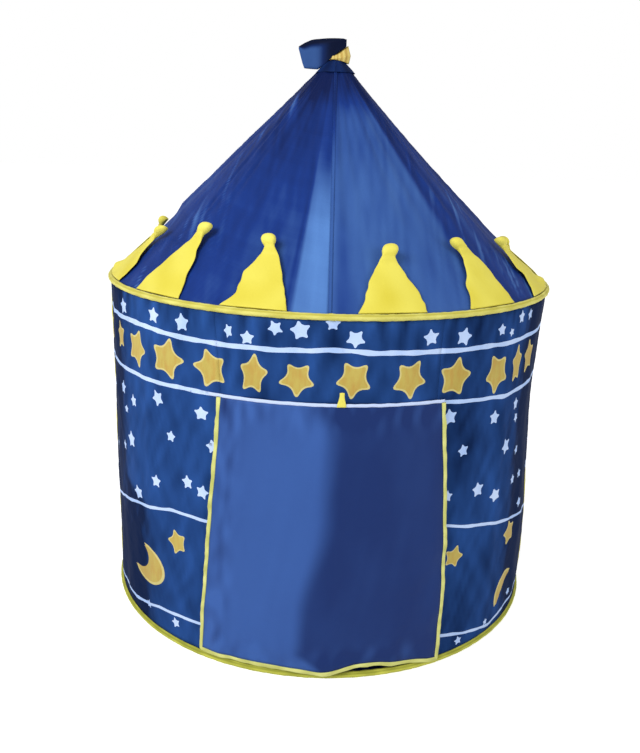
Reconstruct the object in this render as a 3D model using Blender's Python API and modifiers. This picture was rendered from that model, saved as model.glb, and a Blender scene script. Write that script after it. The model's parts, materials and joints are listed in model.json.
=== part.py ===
"""Children's castle play tent: two hoops, four jointed poles and a sewn cloth cover.

Metres, +Z up. The origin is on the floor, on the tent's upright axis. An azimuth is measured
from the doorway, which faces -Y, and grows towards +X, the right-hand side of the tent.
"""

import math

import bmesh
import bpy
from mathutils import Matrix, Vector

# Driving sizes
RING_RADIUS = 0.519
EAVE_HEIGHT = 0.775
APEX_HEIGHT = 1.280
CLOTH = 0.0012
SEAT_GAP = 0.0003
FULL_TURN = 360.0
RING_STEPS = 48

# Hoops and the yellow binding that wraps them, seen in cross-section
HOOP_RADIUS = 0.0032
SPLICE_RADIUS = 0.0042
SPLICE_WALL = 0.0005
SPLICE_SIDES = 8
HOOP_END_GAP = 0.001
BINDING_RADIUS = 0.0065
BINDING_WALL = 0.0015
BINDING_TURN = 36.0
BINDING_FACES = 8
BINDING_FLAT = BINDING_RADIUS * math.cos(math.radians(BINDING_TURN / 2))
BASE_HEIGHT = BINDING_FLAT

# Poles and the moulded joints that hold them
POLE_RADIUS = 0.00475
POLE_INSET = 0.016
POLE_CIRCLE = RING_RADIUS - POLE_INSET
ROOF_POLE_DEPTH = 0.0095
POLE_AZIMUTH = 45.0
POLE_SPACING = 90.0
POLE_NAMES = ("front_right", "back_right", "back_left", "front_left")
BORE_CLEARANCE = 0.0003
BORE_RADIUS = POLE_RADIUS + BORE_CLEARANCE
SOCKET_RADIUS = 0.0075
SOCKET_LENGTH = 0.036
SOCKET_FLOOR = 0.008
BEND_RADIUS = 0.0082
LUG_WIDTH = 0.008
LUG_HEIGHT = 0.004
LUG_GAP = 0.0005
CUT_OVERRUN = 0.004
ROUND_SIDES = 12

FOOT_RADIUS = 0.008
FOOT_HEIGHT = 0.034
FOOT_FLOOR = 0.003

HUB_RADIUS = 0.020
HUB_BOTTOM = 0.075
HUB_TOP = 0.030
HUB_REACH = 0.060
HUB_BORE_STOP = 0.028
FINIAL_RADIUS = 0.005
FINIAL_BORE_DEPTH = 0.014
FINIAL_HEAD_RADIUS = 0.0075
FINIAL_HEAD_HEIGHT = 0.008
FINIAL_TOP = 0.0326
FINIAL_ROUNDING = 0.003

# Wall cloth: how it is drawn in between its poles, and where its pieces meet
WAIST = 0.008
WALL_ROWS = 6
WALL_STEP = 5.0
DOORWAY_AZIMUTH = 25.0
SIDE_SEAM_AZIMUTH = 80.0
BACK_SEAM_AZIMUTH = 180.0
DOORWAY_TOP = 0.600
PIPING_RADIUS = 0.003
DOORWAY_TAPE_WIDTH = 0.008
DOORWAY_TAPE_THICKNESS = 0.0018

# Roof cloth
ROOF_SAG = 0.008
ROOF_ROWS = 6
ROOF_PANEL_ANGLE = 90.0
ROOF_COLUMNS = 12
ROOF_TOP_RADIUS = 0.020
CAP_RADIUS = 0.045
CAP_CROWN_RADIUS = 0.012
CAP_CROWN_RISE = 0.004
CAP_HOLE_RADIUS = 0.0062

# Crown of padded spikes round the eaves
SPIKE_COUNT = 13
SPIKE_FIRST_AZIMUTH = 12.1
SPIKE_BASE = 0.140
SPIKE_HEIGHT = 0.164
SPIKE_PAD_RADIUS = 0.0155
SPIKE_NECK_WIDTH = 0.016
SPIKE_THICKNESS = 0.0040
SPIKE_PAD_THICKNESS = 0.0160
SPIKE_LEAN = 0.0120
SPIKE_LIFT = 0.0004
SPIKE_FOOT_GAP = 0.0012
SPIKE_BODY_ROWS = 4
SPIKE_COLUMNS = 4
SPIKE_PAD_TURNS = (-50.0, -15.0, 20.0, 50.0, 75.0)
# Thickness of a spike from one edge to the other, as shares of that at its middle.
SPIKE_CROWN_SHARES = (0.45, 0.85, 1.00, 0.85, 0.45)

# Door flap, its binding, its header tape and its tie
FLAP_STANDOFF = 0.003
FLAP_TOP_AZIMUTH = 26.0
FLAP_HEM_AZIMUTH = 29.4
FLAP_HEM_OUT = 0.0045
FLAP_HEM_HEIGHT = 0.0236
FLAP_HEM_LIFT = 0.010
FLAP_LIFT_SHARE = 0.35
FLAP_LIFT_SPREAD_SHARE = 0.30
FLAP_FOLD = 0.006
FLAP_COLUMNS = 10
FLAP_ROWS = 8
FLAP_BINDING_WIDTH = 0.010
FLAP_BINDING_THICKNESS = 0.0022
HEADER_HEIGHT = 0.0065
HEADER_AZIMUTH = 26.6
HEADER_THICKNESS = 0.0020
HEADER_GAP = 0.0012
DOOR_AXIS_OUT = 0.0006
DOOR_AXIS_RISE = 0.003
TIE_AZIMUTH = 2.5
TIE_HEIGHT = 0.031
TIE_BASE_WIDTH = 0.017
TIE_TIP_WIDTH = 0.009
TIE_LEAN = 0.004

# Flag and its yellow collar, on top of the finial
COLLAR_HOLE_RADIUS = 0.0056
COLLAR_TOP_RADIUS = 0.0120
COLLAR_SHOULDER_RADIUS = 0.0135
COLLAR_HEM_RADIUS = 0.026
COLLAR_TOP = 0.008
COLLAR_SHOULDER = 0.006
COLLAR_HEM_GAP = 0.0020
FLAG_LEG_ROWS = 4
FLAG_LEFT = 0.090
FLAG_CREST = 0.0345
FLAG_WIDE = 0.0155
# Each column of the flag: across as a share of FLAG_LEFT, crest and hem above the peak as
# shares of FLAG_CREST, and half the width as a share of FLAG_WIDE.
FLAG_COLUMN_SHARES = (
    (0.155, 0.985, 0.480, 0.940),
    (0.045, 1.000, 0.305, 1.000),
    (-0.067, 1.000, 0.130, 0.968),
    (-0.178, 1.000, -0.058, 0.762),
    (-0.289, 1.000, -0.246, 0.580),
    (-0.378, 1.000, -0.493, 0.480),
    (-0.428, 1.000, -0.900, 0.420),
    (-0.578, 1.000, -0.900, 0.290),
    (-0.722, 1.000, -0.900, 0.225),
    (-0.867, 0.840, -0.900, 0.225),
    (-1.000, 0.685, -0.870, 0.225),
)

# The roof's slope, from the ring's centre line to the point where the slopes would meet
ROOF_RISE = APEX_HEIGHT - EAVE_HEIGHT
ROOF_ANGLE = math.atan2(ROOF_RISE, RING_RADIUS)
ROOF_LENGTH = math.hypot(ROOF_RISE, RING_RADIUS)


def polar(radius, azimuth, height=0.0):
    """The point at this radius and azimuth in degrees, measured from the doorway."""
    turn = math.radians(azimuth)
    return Vector((radius * math.sin(turn), -radius * math.cos(turn), height))


def blend(start, end, share):
    return start + (end - start) * share


def away_from_pole(azimuth):
    """0 at a pole's azimuth and 1 midway between two, with a crease at the pole."""
    half = POLE_SPACING / 2
    distance = abs((azimuth - POLE_AZIMUTH + half) % POLE_SPACING - half)
    return math.sin(math.pi / 2 * distance / half)


def wall_radius(azimuth, height):
    """Middle of the wall cloth, pulled in between the poles at half height."""
    drawn_in = math.sin(math.pi * height / EAVE_HEIGHT) * away_from_pole(azimuth)
    return RING_RADIUS - WAIST * drawn_in


def roof_point(azimuth, along, offset=0.0):
    """A point this far up the slope from the ring's centre, this far outside the roof cloth."""
    sunk = ROOF_SAG * math.sin(math.pi * along / ROOF_LENGTH) * away_from_pole(azimuth)
    lift = offset - sunk
    radius = RING_RADIUS - along * math.cos(ROOF_ANGLE) + lift * math.sin(ROOF_ANGLE)
    height = EAVE_HEIGHT + along * math.sin(ROOF_ANGLE) + lift * math.cos(ROOF_ANGLE)
    return polar(radius, azimuth, height)


def cap_height(radius):
    """Middle of the peak's cap at this radius, over the gores' own slope."""
    above = (CLOTH + SEAT_GAP) / math.cos(ROOF_ANGLE)
    return APEX_HEIGHT - radius * math.tan(ROOF_ANGLE) + above


def make_material(name, colour, roughness):
    material = bpy.data.materials.new(name)
    material.use_nodes = True
    shader = material.node_tree.nodes["Principled BSDF"]
    shader.inputs["Base Color"].default_value = (*colour, 1.0)
    shader.inputs["Roughness"].default_value = roughness
    shader.inputs["Metallic"].default_value = 0.0
    return material


def clear_scene():
    for item in list(bpy.data.objects):
        bpy.data.objects.remove(item)


def make_collection(name):
    group = bpy.data.collections.new(name)
    bpy.context.scene.collection.children.link(group)
    return group


clear_scene()
TENT = make_collection("play_tent")
CUTTERS = make_collection("cutters")
BLUE_CLOTH = make_material("blue_taffeta", (0.024, 0.062, 0.255), 0.45)
PRINTED_CLOTH = make_material("printed_taffeta", (0.022, 0.050, 0.200), 0.45)
YELLOW_CLOTH = make_material("yellow_cloth", (0.850, 0.690, 0.060), 0.60)
YELLOW_TAPE = make_material("yellow_tape", (0.800, 0.720, 0.150), 0.60)
WHITE_TAPE = make_material("white_tape", (0.640, 0.710, 0.850), 0.60)
WHITE_PLASTIC = make_material("white_plastic", (0.800, 0.800, 0.780), 0.40)
BLACK_PLASTIC = make_material("black_plastic", (0.020, 0.020, 0.022), 0.35)
HOOP_MATERIAL = make_material("hoop_fibre", (0.700, 0.690, 0.640), 0.35)


def add(name, data, material, group=TENT):
    """Links a new object that holds this mesh or curve."""
    item = bpy.data.objects.new(name, data)
    group.objects.link(item)
    if material is not None and not data.materials:
        data.materials.append(material)
    return item


def pivot(items, point):
    """Moves these objects' origins to a point on their joint's axis."""
    for item in items:
        item.data.transform(Matrix.Translation(-point))
        item.location = point


def thicken(item, thickness, offset=0.0):
    modifier = item.modifiers.new("thickness", "SOLIDIFY")
    modifier.thickness = thickness
    modifier.offset = offset
    modifier.use_even_offset = True
    return item


def pad(item, shares):
    """Gives each vertex its own share of the item's thickness, as padding does."""
    group = item.vertex_groups.new(name="padding")
    for index, share in enumerate(shares):
        group.add([index], share, "REPLACE")
    item.modifiers["thickness"].vertex_group = group.name


def sheet(name, columns, rows, place, thickness, material):
    """A grid whose vertex in this column and row goes to place(column, row), with a thickness."""
    mesh = bpy.data.meshes.new(name)
    grid = bmesh.new()
    bmesh.ops.create_grid(grid, x_segments=columns, y_segments=rows, size=1.0)
    for vertex in grid.verts:
        column = round((vertex.co.x + 1.0) / 2 * columns)
        row = round((vertex.co.y + 1.0) / 2 * rows)
        vertex.co = place(column, row)
    grid.to_mesh(mesh)
    grid.free()
    return thicken(add(name, mesh, material), thickness)


def turned(name, profile, closed, start, sweep, steps, material):
    """Sweeps a profile of (radius, height) points round the upright axis, from azimuth start."""
    mesh = bpy.data.meshes.new(name)
    count = len(profile)
    edges = [(k, k + 1) for k in range(count - 1)]
    if closed:
        edges.append((count - 1, 0))
    mesh.from_pydata([(radius, 0.0, height) for radius, height in profile], edges, [])
    item = add(name, mesh, material)
    screw = item.modifiers.new("turn", "SCREW")
    screw.angle = math.radians(sweep)
    screw.steps = steps
    screw.render_steps = steps
    screw.use_merge_vertices = sweep == FULL_TURN
    screw.merge_threshold = SEAT_GAP / 10
    quarter = FULL_TURN / 4
    item.rotation_euler.z = math.radians(start - quarter)
    return item


def rod(name, points, radius, material, resolution=2):
    """A round rod or cord along these points, with filled ends."""
    curve = bpy.data.curves.new(name, "CURVE")
    curve.dimensions = "3D"
    curve.bevel_depth = radius
    curve.bevel_resolution = resolution
    curve.use_fill_caps = True
    spline = curve.splines.new("POLY")
    spline.points.add(len(points) - 1)
    for target, point in zip(spline.points, points):
        target.co = (*point, 1.0)
    return add(name, curve, material)


def cylinder(name, start, end, radius, material, group=TENT, sides=ROUND_SIDES):
    """A closed cylinder from start to end, its place kept in its mesh."""
    axis = end - start
    mesh = bpy.data.meshes.new(name)
    shape = bmesh.new()
    bmesh.ops.create_cone(
        shape, cap_ends=True, segments=sides, radius1=radius, radius2=radius, depth=axis.length
    )
    turn = Vector((0.0, 0.0, 1.0)).rotation_difference(axis).to_matrix().to_4x4()
    shape.transform(Matrix.Translation((start + end) / 2) @ turn)
    shape.to_mesh(mesh)
    shape.free()
    return add(name, mesh, material, group)


def combine(item, tool, operation):
    """Joins a helper to the item, or cuts it away, and hides the helper."""
    modifier = item.modifiers.new(tool.name, "BOOLEAN")
    modifier.operation = operation
    modifier.solver = "EXACT"
    modifier.object = tool
    tool.hide_render = True
    tool.display_type = "WIRE"


def lug(name, ring_height):
    """The tongue that reaches through the binding's slit to the hoop, at the first pole."""
    end = RING_RADIUS - HOOP_RADIUS - LUG_GAP
    length = end - POLE_CIRCLE
    mesh = bpy.data.meshes.new(name)
    shape = bmesh.new()
    bmesh.ops.create_cube(shape, size=1.0)
    scale = Matrix.Diagonal((LUG_WIDTH, length, LUG_HEIGHT, 1.0))
    middle = Matrix.Translation((0.0, -(POLE_CIRCLE + end) / 2, ring_height))
    turn = Matrix.Rotation(math.radians(POLE_AZIMUTH), 4, "Z")
    shape.transform(turn @ middle @ scale)
    shape.to_mesh(mesh)
    shape.free()
    return add(name, mesh, None, CUTTERS)


def at_each_pole(first, base_name):
    """Bakes the first copy's modifiers and repeats it at the other poles, sharing its mesh."""
    graph = bpy.context.evaluated_depsgraph_get()
    mesh = bpy.data.meshes.new_from_object(first.evaluated_get(graph))
    material = first.data.materials[0]
    bpy.data.objects.remove(first)
    mesh.materials.clear()
    for number, place in enumerate(POLE_NAMES):
        copy = add(f"{base_name}_{place}", mesh, material)
        copy.rotation_euler.z = math.radians(number * POLE_SPACING)


def make_hoop(name, height):
    """A hoop with its two ends meeting inside a splice at the back of the tent."""
    step = FULL_TURN / RING_STEPS
    gap = math.degrees(HOOP_END_GAP / 2 / RING_RADIUS)
    turns = [BACK_SEAM_AZIMUTH + step * k for k in range(1, RING_STEPS)]
    turns = [BACK_SEAM_AZIMUTH + gap, *turns, BACK_SEAM_AZIMUTH + FULL_TURN - gap]
    rod(name, [polar(RING_RADIUS, turn, height) for turn in turns], HOOP_RADIUS, HOOP_MATERIAL, 1)
    section = SPLICE_RADIUS / math.cos(math.pi / SPLICE_SIDES)
    profile = []
    for k in range(SPLICE_SIDES):
        turn = math.pi / 2 - 2 * math.pi * k / SPLICE_SIDES
        profile.append((RING_RADIUS + section * math.cos(turn), height + section * math.sin(turn)))
    start = BACK_SEAM_AZIMUTH - step
    splice = turned(f"{name}_splice", profile, True, start, 2 * step, 2, WHITE_PLASTIC)
    thicken(splice, SPLICE_WALL, -1.0)


def make_binding(name, height):
    """The binding round a hoop, open on its inner side, in a front and a back length."""
    half = BINDING_FACES // 2
    profile = []
    for k in range(-half, half + 1):
        turn = math.radians(-k * BINDING_TURN)
        radius = RING_RADIUS + BINDING_RADIUS * math.cos(turn)
        profile.append((radius, height + BINDING_RADIUS * math.sin(turn)))
    sweep = FULL_TURN / 2 - math.degrees(SEAT_GAP / RING_RADIUS)
    margin = (FULL_TURN / 2 - sweep) / 2
    for place, start in (("front", -FULL_TURN / 4), ("back", FULL_TURN / 4)):
        item = turned(
            f"{name}_{place}", profile, False, start + margin, sweep, RING_STEPS // 2, YELLOW_TAPE
        )
        thicken(item, BINDING_WALL, -1.0)


def make_ground_sheet():
    """The floor cloth, reaching the sloping underside of the base binding."""
    low = math.radians(BINDING_TURN * (BINDING_FACES // 2 - 1))
    high = math.radians(BINDING_TURN * (BINDING_FACES // 2))
    low_inset = -BINDING_RADIUS * math.cos(low)
    high_inset = -BINDING_RADIUS * math.cos(high)
    high_height = BASE_HEIGHT - BINDING_RADIUS * math.sin(high)
    inset = blend(low_inset, high_inset, CLOTH / high_height)
    radius = RING_RADIUS - inset - SEAT_GAP
    cylinder(
        "ground_sheet", Vector((0.0, 0.0, 0.0)), Vector((0.0, 0.0, CLOTH)), radius, BLUE_CLOTH,
        sides=RING_STEPS,
    )


def wall_panel(name, start, end, bottom, top, rows):
    """Wall cloth from one azimuth to another, which stops short of what it is sewn to."""
    columns = round((end - start) / WALL_STEP)

    def place(column, row):
        height = blend(bottom, top, row / rows)
        turn = blend(start, end, column / columns)
        return polar(wall_radius(turn, height), turn, height)

    return sheet(name, columns, rows, place, CLOTH, PRINTED_CLOTH)


def upright_band(name, azimuth, width, thickness, bottom, top, material):
    """A tape that stands along the wall, its middle at this azimuth."""
    half = math.degrees(width / 2 / RING_RADIUS)

    def place(column, row):
        height = blend(bottom, top, row / WALL_ROWS)
        turn = azimuth + half * (2 * column - 1)
        return polar(wall_radius(turn, height), turn, height)

    return sheet(name, 1, WALL_ROWS, place, thickness, material)


def make_walls():
    bottom = BASE_HEIGHT + BINDING_FLAT + SEAT_GAP
    top = EAVE_HEIGHT - BINDING_FLAT - SEAT_GAP
    butt = math.degrees(SEAT_GAP / RING_RADIUS) / 2
    beside_piping = math.degrees((PIPING_RADIUS + SEAT_GAP) / RING_RADIUS)
    seam_front = SIDE_SEAM_AZIMUTH - beside_piping
    seam_back = SIDE_SEAM_AZIMUTH + beside_piping
    wall_panel("wall_front_right", DOORWAY_AZIMUTH + butt, seam_front, bottom, top, WALL_ROWS)
    wall_panel("wall_front_left", -seam_front, -DOORWAY_AZIMUTH - butt, bottom, top, WALL_ROWS)
    wall_panel("wall_back_right", seam_back, BACK_SEAM_AZIMUTH - butt, bottom, top, WALL_ROWS)
    wall_panel("wall_back_left", -BACK_SEAM_AZIMUTH + butt, -seam_back, bottom, top, WALL_ROWS)
    lintel = DOORWAY_AZIMUTH - butt
    wall_panel("wall_lintel", -lintel, lintel, DOORWAY_TOP, top, 2)

    tape_half = math.degrees((DOORWAY_TAPE_WIDTH / 2 + SEAT_GAP) / RING_RADIUS)
    tape_turn = DOORWAY_AZIMUTH - tape_half
    tape_top = DOORWAY_TOP - SEAT_GAP
    for side, sign in (("right", 1), ("left", -1)):
        upright_band(
            f"doorway_binding_{side}", sign * tape_turn, DOORWAY_TAPE_WIDTH,
            DOORWAY_TAPE_THICKNESS, bottom, tape_top, YELLOW_TAPE,
        )
        heights = [blend(bottom, top, k / WALL_ROWS) for k in range(WALL_ROWS + 1)]
        turn = sign * SIDE_SEAM_AZIMUTH
        path = [polar(wall_radius(turn, height), turn, height) for height in heights]
        rod(f"side_piping_{side}", path, PIPING_RADIUS, YELLOW_TAPE, 1)


def roof_pole_point(radius):
    """A point on the first roof pole's centre line, under the roof cloth."""
    height = APEX_HEIGHT - radius * math.tan(ROOF_ANGLE) - ROOF_POLE_DEPTH / math.cos(ROOF_ANGLE)
    return polar(radius, POLE_AZIMUTH, height)


def make_frame():
    """Poles, the cups they stand in, the elbows at the eaves and the hub under the peak."""
    bend = roof_pole_point(POLE_CIRCLE)
    hub_end = roof_pole_point(HUB_REACH)
    uphill = (hub_end - bend).normalized()
    up = Vector((0.0, 0.0, 1.0))

    foot_base = polar(POLE_CIRCLE, POLE_AZIMUTH, CLOTH + SEAT_GAP)
    foot_floor = foot_base + up * FOOT_FLOOR
    foot_mouth = foot_base + up * FOOT_HEIGHT
    foot = cylinder("foot_cup", foot_base, foot_mouth, FOOT_RADIUS, WHITE_PLASTIC)
    combine(foot, lug("foot_lug", BASE_HEIGHT), "UNION")
    overrun = up * CUT_OVERRUN
    bore = cylinder("foot_bore", foot_floor, foot_mouth + overrun, BORE_RADIUS, None, CUTTERS)
    combine(foot, bore, "DIFFERENCE")
    at_each_pole(foot, "foot_cup")

    lower_mouth = bend - up * SOCKET_LENGTH
    upper_mouth = bend + uphill * SOCKET_LENGTH
    elbow = cylinder("eave_elbow", lower_mouth, bend, SOCKET_RADIUS, WHITE_PLASTIC)
    upper = cylinder("elbow_upper", bend, upper_mouth, SOCKET_RADIUS, None, CUTTERS)
    mesh = bpy.data.meshes.new("elbow_bend")
    ball = bmesh.new()
    bmesh.ops.create_uvsphere(ball, u_segments=ROUND_SIDES, v_segments=ROUND_SIDES // 2, radius=BEND_RADIUS)
    ball.transform(Matrix.Translation(bend))
    ball.to_mesh(mesh)
    ball.free()
    combine(elbow, add("elbow_bend", mesh, None, CUTTERS), "UNION")
    combine(elbow, upper, "UNION")
    combine(elbow, lug("elbow_lug", EAVE_HEIGHT), "UNION")
    lower_stop = bend - up * SOCKET_FLOOR
    upper_stop = bend + uphill * SOCKET_FLOOR
    lower_bore = cylinder("elbow_bore_low", lower_mouth - overrun, lower_stop, BORE_RADIUS, None, CUTTERS)
    upper_end = upper_mouth + uphill * CUT_OVERRUN
    upper_bore = cylinder("elbow_bore_high", upper_stop, upper_end, BORE_RADIUS, None, CUTTERS)
    combine(elbow, lower_bore, "DIFFERENCE")
    combine(elbow, upper_bore, "DIFFERENCE")
    at_each_pole(elbow, "eave_elbow")

    pole = cylinder(
        "wall_pole", foot_floor + up * SEAT_GAP, lower_stop - up * SEAT_GAP, POLE_RADIUS, WHITE_PLASTIC
    )
    at_each_pole(pole, "wall_pole")

    hub_stop = roof_pole_point(HUB_BORE_STOP)
    pole = cylinder(
        "roof_pole", upper_stop + uphill * SEAT_GAP, hub_stop - uphill * SEAT_GAP, POLE_RADIUS,
        WHITE_PLASTIC,
    )
    at_each_pole(pole, "roof_pole")
    make_hub(hub_end, hub_stop, uphill)


def make_hub(mouth, stop, uphill):
    """The peak hub: a round core with four sloping sockets and a bore for the finial."""
    core_low = Vector((0.0, 0.0, APEX_HEIGHT - HUB_BOTTOM))
    core_high = Vector((0.0, 0.0, APEX_HEIGHT - HUB_TOP))
    hub = cylinder("apex_hub", core_low, core_high, HUB_RADIUS, WHITE_PLASTIC, sides=2 * ROUND_SIDES)
    inner = stop + uphill * SOCKET_FLOOR
    for number, place in enumerate(POLE_NAMES):
        turn = Matrix.Rotation(math.radians(number * POLE_SPACING), 4, "Z")
        socket = cylinder(f"hub_socket_{place}", mouth, inner, SOCKET_RADIUS, None, CUTTERS)
        socket.data.transform(turn)
        combine(hub, socket, "UNION")
    for number, place in enumerate(POLE_NAMES):
        turn = Matrix.Rotation(math.radians(number * POLE_SPACING), 4, "Z")
        open_end = mouth - uphill * CUT_OVERRUN
        bore = cylinder(f"hub_bore_{place}", open_end, stop, BORE_RADIUS, None, CUTTERS)
        bore.data.transform(turn)
        combine(hub, bore, "DIFFERENCE")
    finial_floor = core_high.z - FINIAL_BORE_DEPTH
    finial_bore = cylinder(
        "finial_bore", Vector((0.0, 0.0, finial_floor)), core_high + Vector((0.0, 0.0, CUT_OVERRUN)),
        FINIAL_RADIUS + BORE_CLEARANCE, None, CUTTERS,
    )
    combine(hub, finial_bore, "DIFFERENCE")

    head_top = APEX_HEIGHT + FINIAL_TOP
    head_low = head_top - FINIAL_HEAD_HEIGHT
    profile = [
        (0.0, head_top),
        (FINIAL_HEAD_RADIUS - FINIAL_ROUNDING, head_top),
        (FINIAL_HEAD_RADIUS, head_top - FINIAL_ROUNDING),
        (FINIAL_HEAD_RADIUS, head_low),
        (FINIAL_RADIUS, head_low),
        (FINIAL_RADIUS, finial_floor + SEAT_GAP),
        (0.0, finial_floor + SEAT_GAP),
    ]
    turned("finial", profile, False, 0.0, FULL_TURN, ROUND_SIDES, BLACK_PLASTIC)


def make_roof():
    """Four cloth gores that meet at the front, the sides and the back, and the cap over them."""
    low = BINDING_RADIUS + SEAT_GAP
    high = (RING_RADIUS - ROOF_TOP_RADIUS) / math.cos(ROOF_ANGLE)
    for number, side in enumerate(POLE_NAMES):
        start = number * ROOF_PANEL_ANGLE

        def place(column, row, start=start):
            along = blend(low, high, row / ROOF_ROWS)
            radius = RING_RADIUS - along * math.cos(ROOF_ANGLE)
            butt = math.degrees(SEAT_GAP / 2 / radius)
            turn = blend(start + butt, start + ROOF_PANEL_ANGLE - butt, column / ROOF_COLUMNS)
            return roof_point(turn, along)

        sheet(f"roof_panel_{side}", ROOF_COLUMNS, ROOF_ROWS, place, CLOTH, BLUE_CLOTH)

    crown = cap_height(ROOF_TOP_RADIUS) + CAP_CROWN_RISE
    profile = [
        (CAP_HOLE_RADIUS, crown + CLOTH),
        (CAP_CROWN_RADIUS, crown),
        (ROOF_TOP_RADIUS, cap_height(ROOF_TOP_RADIUS)),
        (CAP_RADIUS, cap_height(CAP_RADIUS)),
    ]
    cap = turned("apex_cap", profile, False, 0.0, FULL_TURN, RING_STEPS // 2, BLUE_CLOTH)
    thicken(cap, CLOTH)


def spike_rows():
    """(height, half width, thickness) of each row: a straight taper, then a stuffed round pad."""
    centre = SPIKE_HEIGHT - SPIKE_PAD_RADIUS
    first = math.radians(SPIKE_PAD_TURNS[0])
    neck = centre + SPIKE_PAD_RADIUS * math.sin(first)
    rows = []
    for k in range(SPIKE_BODY_ROWS):
        share = k / SPIKE_BODY_ROWS
        rows.append((neck * share, blend(SPIKE_BASE, SPIKE_NECK_WIDTH, share) / 2, SPIKE_THICKNESS))
    for turn in SPIKE_PAD_TURNS:
        angle = math.radians(turn)
        half = SPIKE_PAD_RADIUS * math.cos(angle)
        thickness = max(SPIKE_THICKNESS, SPIKE_PAD_THICKNESS * math.cos(angle) ** 2)
        rows.append((centre + SPIKE_PAD_RADIUS * math.sin(angle), half, thickness))
    return rows


def make_spikes():
    """The crown: padded spikes, sewn along their lower edges, whose tips stand off the roof."""
    rows = spike_rows()
    inner_face = CLOTH / 2 + SPIKE_LIFT
    foot = math.sqrt(BINDING_RADIUS**2 - inner_face**2) + SPIKE_FOOT_GAP
    shares = [
        thickness / SPIKE_PAD_THICKNESS * crown for _, _, thickness in rows for crown in SPIKE_CROWN_SHARES
    ]
    for number in range(SPIKE_COUNT):
        azimuth = SPIKE_FIRST_AZIMUTH + FULL_TURN / SPIKE_COUNT * number

        def place(column, row, azimuth=azimuth):
            height, half, thickness = rows[row]
            along = foot + height
            radius = RING_RADIUS - along * math.cos(ROOF_ANGLE)
            across = half * (2 * column / SPIKE_COLUMNS - 1)
            lean = SPIKE_LEAN * (height / SPIKE_HEIGHT) ** 2
            offset = inner_face + lean + thickness / 2
            return roof_point(azimuth + math.degrees(across / radius), along, offset)

        name = f"crown_spike_{number + 1:02d}"
        spike = sheet(name, SPIKE_COLUMNS, len(rows) - 1, place, SPIKE_PAD_THICKNESS, YELLOW_CLOTH)
        pad(spike, shares)
        pivot([spike], roof_point(azimuth, foot, inner_face + SPIKE_THICKNESS))


def flap_hem(side):
    """Height of the flap's hem, from -1 at its left to 1 at its right, with one lifted wave."""
    wave = math.exp(-(((side - FLAP_LIFT_SHARE) / FLAP_LIFT_SPREAD_SHARE) ** 2))
    return FLAP_HEM_HEIGHT + FLAP_HEM_LIFT * wave


def flap_point(side, share, beside=0.0, below=0.0):
    """A point on the door flap: side runs from -1 to 1 and share from its top to its hem."""
    top = DOORWAY_TOP - SEAT_GAP
    height = blend(top, flap_hem(side), share) - below
    turn = side * blend(FLAP_TOP_AZIMUTH, FLAP_HEM_AZIMUTH, share)
    turn += math.degrees(beside / RING_RADIUS)
    hung = wall_radius(turn, DOORWAY_TOP) + FLAP_STANDOFF
    fold = FLAP_FOLD * share * math.sin(math.pi * share) * math.cos(math.pi * side) ** 2
    return polar(blend(hung, RING_RADIUS + FLAP_HEM_OUT, share) + fold, turn, height)


def make_door():
    """The plain flap, the tape that binds its sides and hem, its header and its tie."""

    def place(column, row):
        return flap_point(2 * column / FLAP_COLUMNS - 1, row / FLAP_ROWS)

    flap = sheet("door_flap", FLAP_COLUMNS, FLAP_ROWS, place, CLOTH, BLUE_CLOTH)

    down = [(-1.0, k / FLAP_ROWS, -1, 0) for k in range(FLAP_ROWS)]
    across = [(2 * k / FLAP_COLUMNS - 1, 1.0, 0, 1) for k in range(1, FLAP_COLUMNS)]
    corner_left = [(-1.0, 1.0, -1, 1)]
    corner_right = [(1.0, 1.0, 1, 1)]
    up = [(1.0, 1 - (k + 1) / FLAP_ROWS, 1, 0) for k in range(FLAP_ROWS)]
    path = down + corner_left + across + corner_right + up

    def bind(column, row):
        side, share, sideways, downwards = path[column]
        reach = SEAT_GAP + FLAP_BINDING_WIDTH * row
        return flap_point(side, share, sideways * reach, downwards * reach)

    binding = sheet("door_flap_binding", len(path) - 1, 1, bind, FLAP_BINDING_THICKNESS, YELLOW_TAPE)
    axis_radius = wall_radius(0.0, DOORWAY_TOP) + FLAP_STANDOFF + CLOTH / 2 + DOOR_AXIS_OUT
    pivot([flap, binding], polar(axis_radius, 0.0, DOORWAY_TOP + DOOR_AXIS_RISE))

    header_mid = CLOTH / 2 + HEADER_GAP + HEADER_THICKNESS / 2

    def header(column, row):
        turn = blend(-HEADER_AZIMUTH, HEADER_AZIMUTH, column / FLAP_COLUMNS)
        height = DOORWAY_TOP + HEADER_HEIGHT * row
        return polar(wall_radius(turn, height) + header_mid, turn, height)

    sheet("door_header_tape", FLAP_COLUMNS, 1, header, HEADER_THICKNESS, WHITE_TAPE)

    tie_mid = header_mid + HEADER_THICKNESS / 2 + SEAT_GAP + CLOTH / 2

    def tie(column, row):
        share = row / 2
        half = blend(TIE_BASE_WIDTH, TIE_TIP_WIDTH, share) / 2
        turn = TIE_AZIMUTH + math.degrees(half * (2 * column - 1) / RING_RADIUS)
        height = DOORWAY_TOP + SEAT_GAP + TIE_HEIGHT * share
        return polar(wall_radius(turn, height) + tie_mid + TIE_LEAN * share, turn, height)

    sheet("door_tie_tab", 1, 2, tie, CLOTH, YELLOW_CLOTH)


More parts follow.
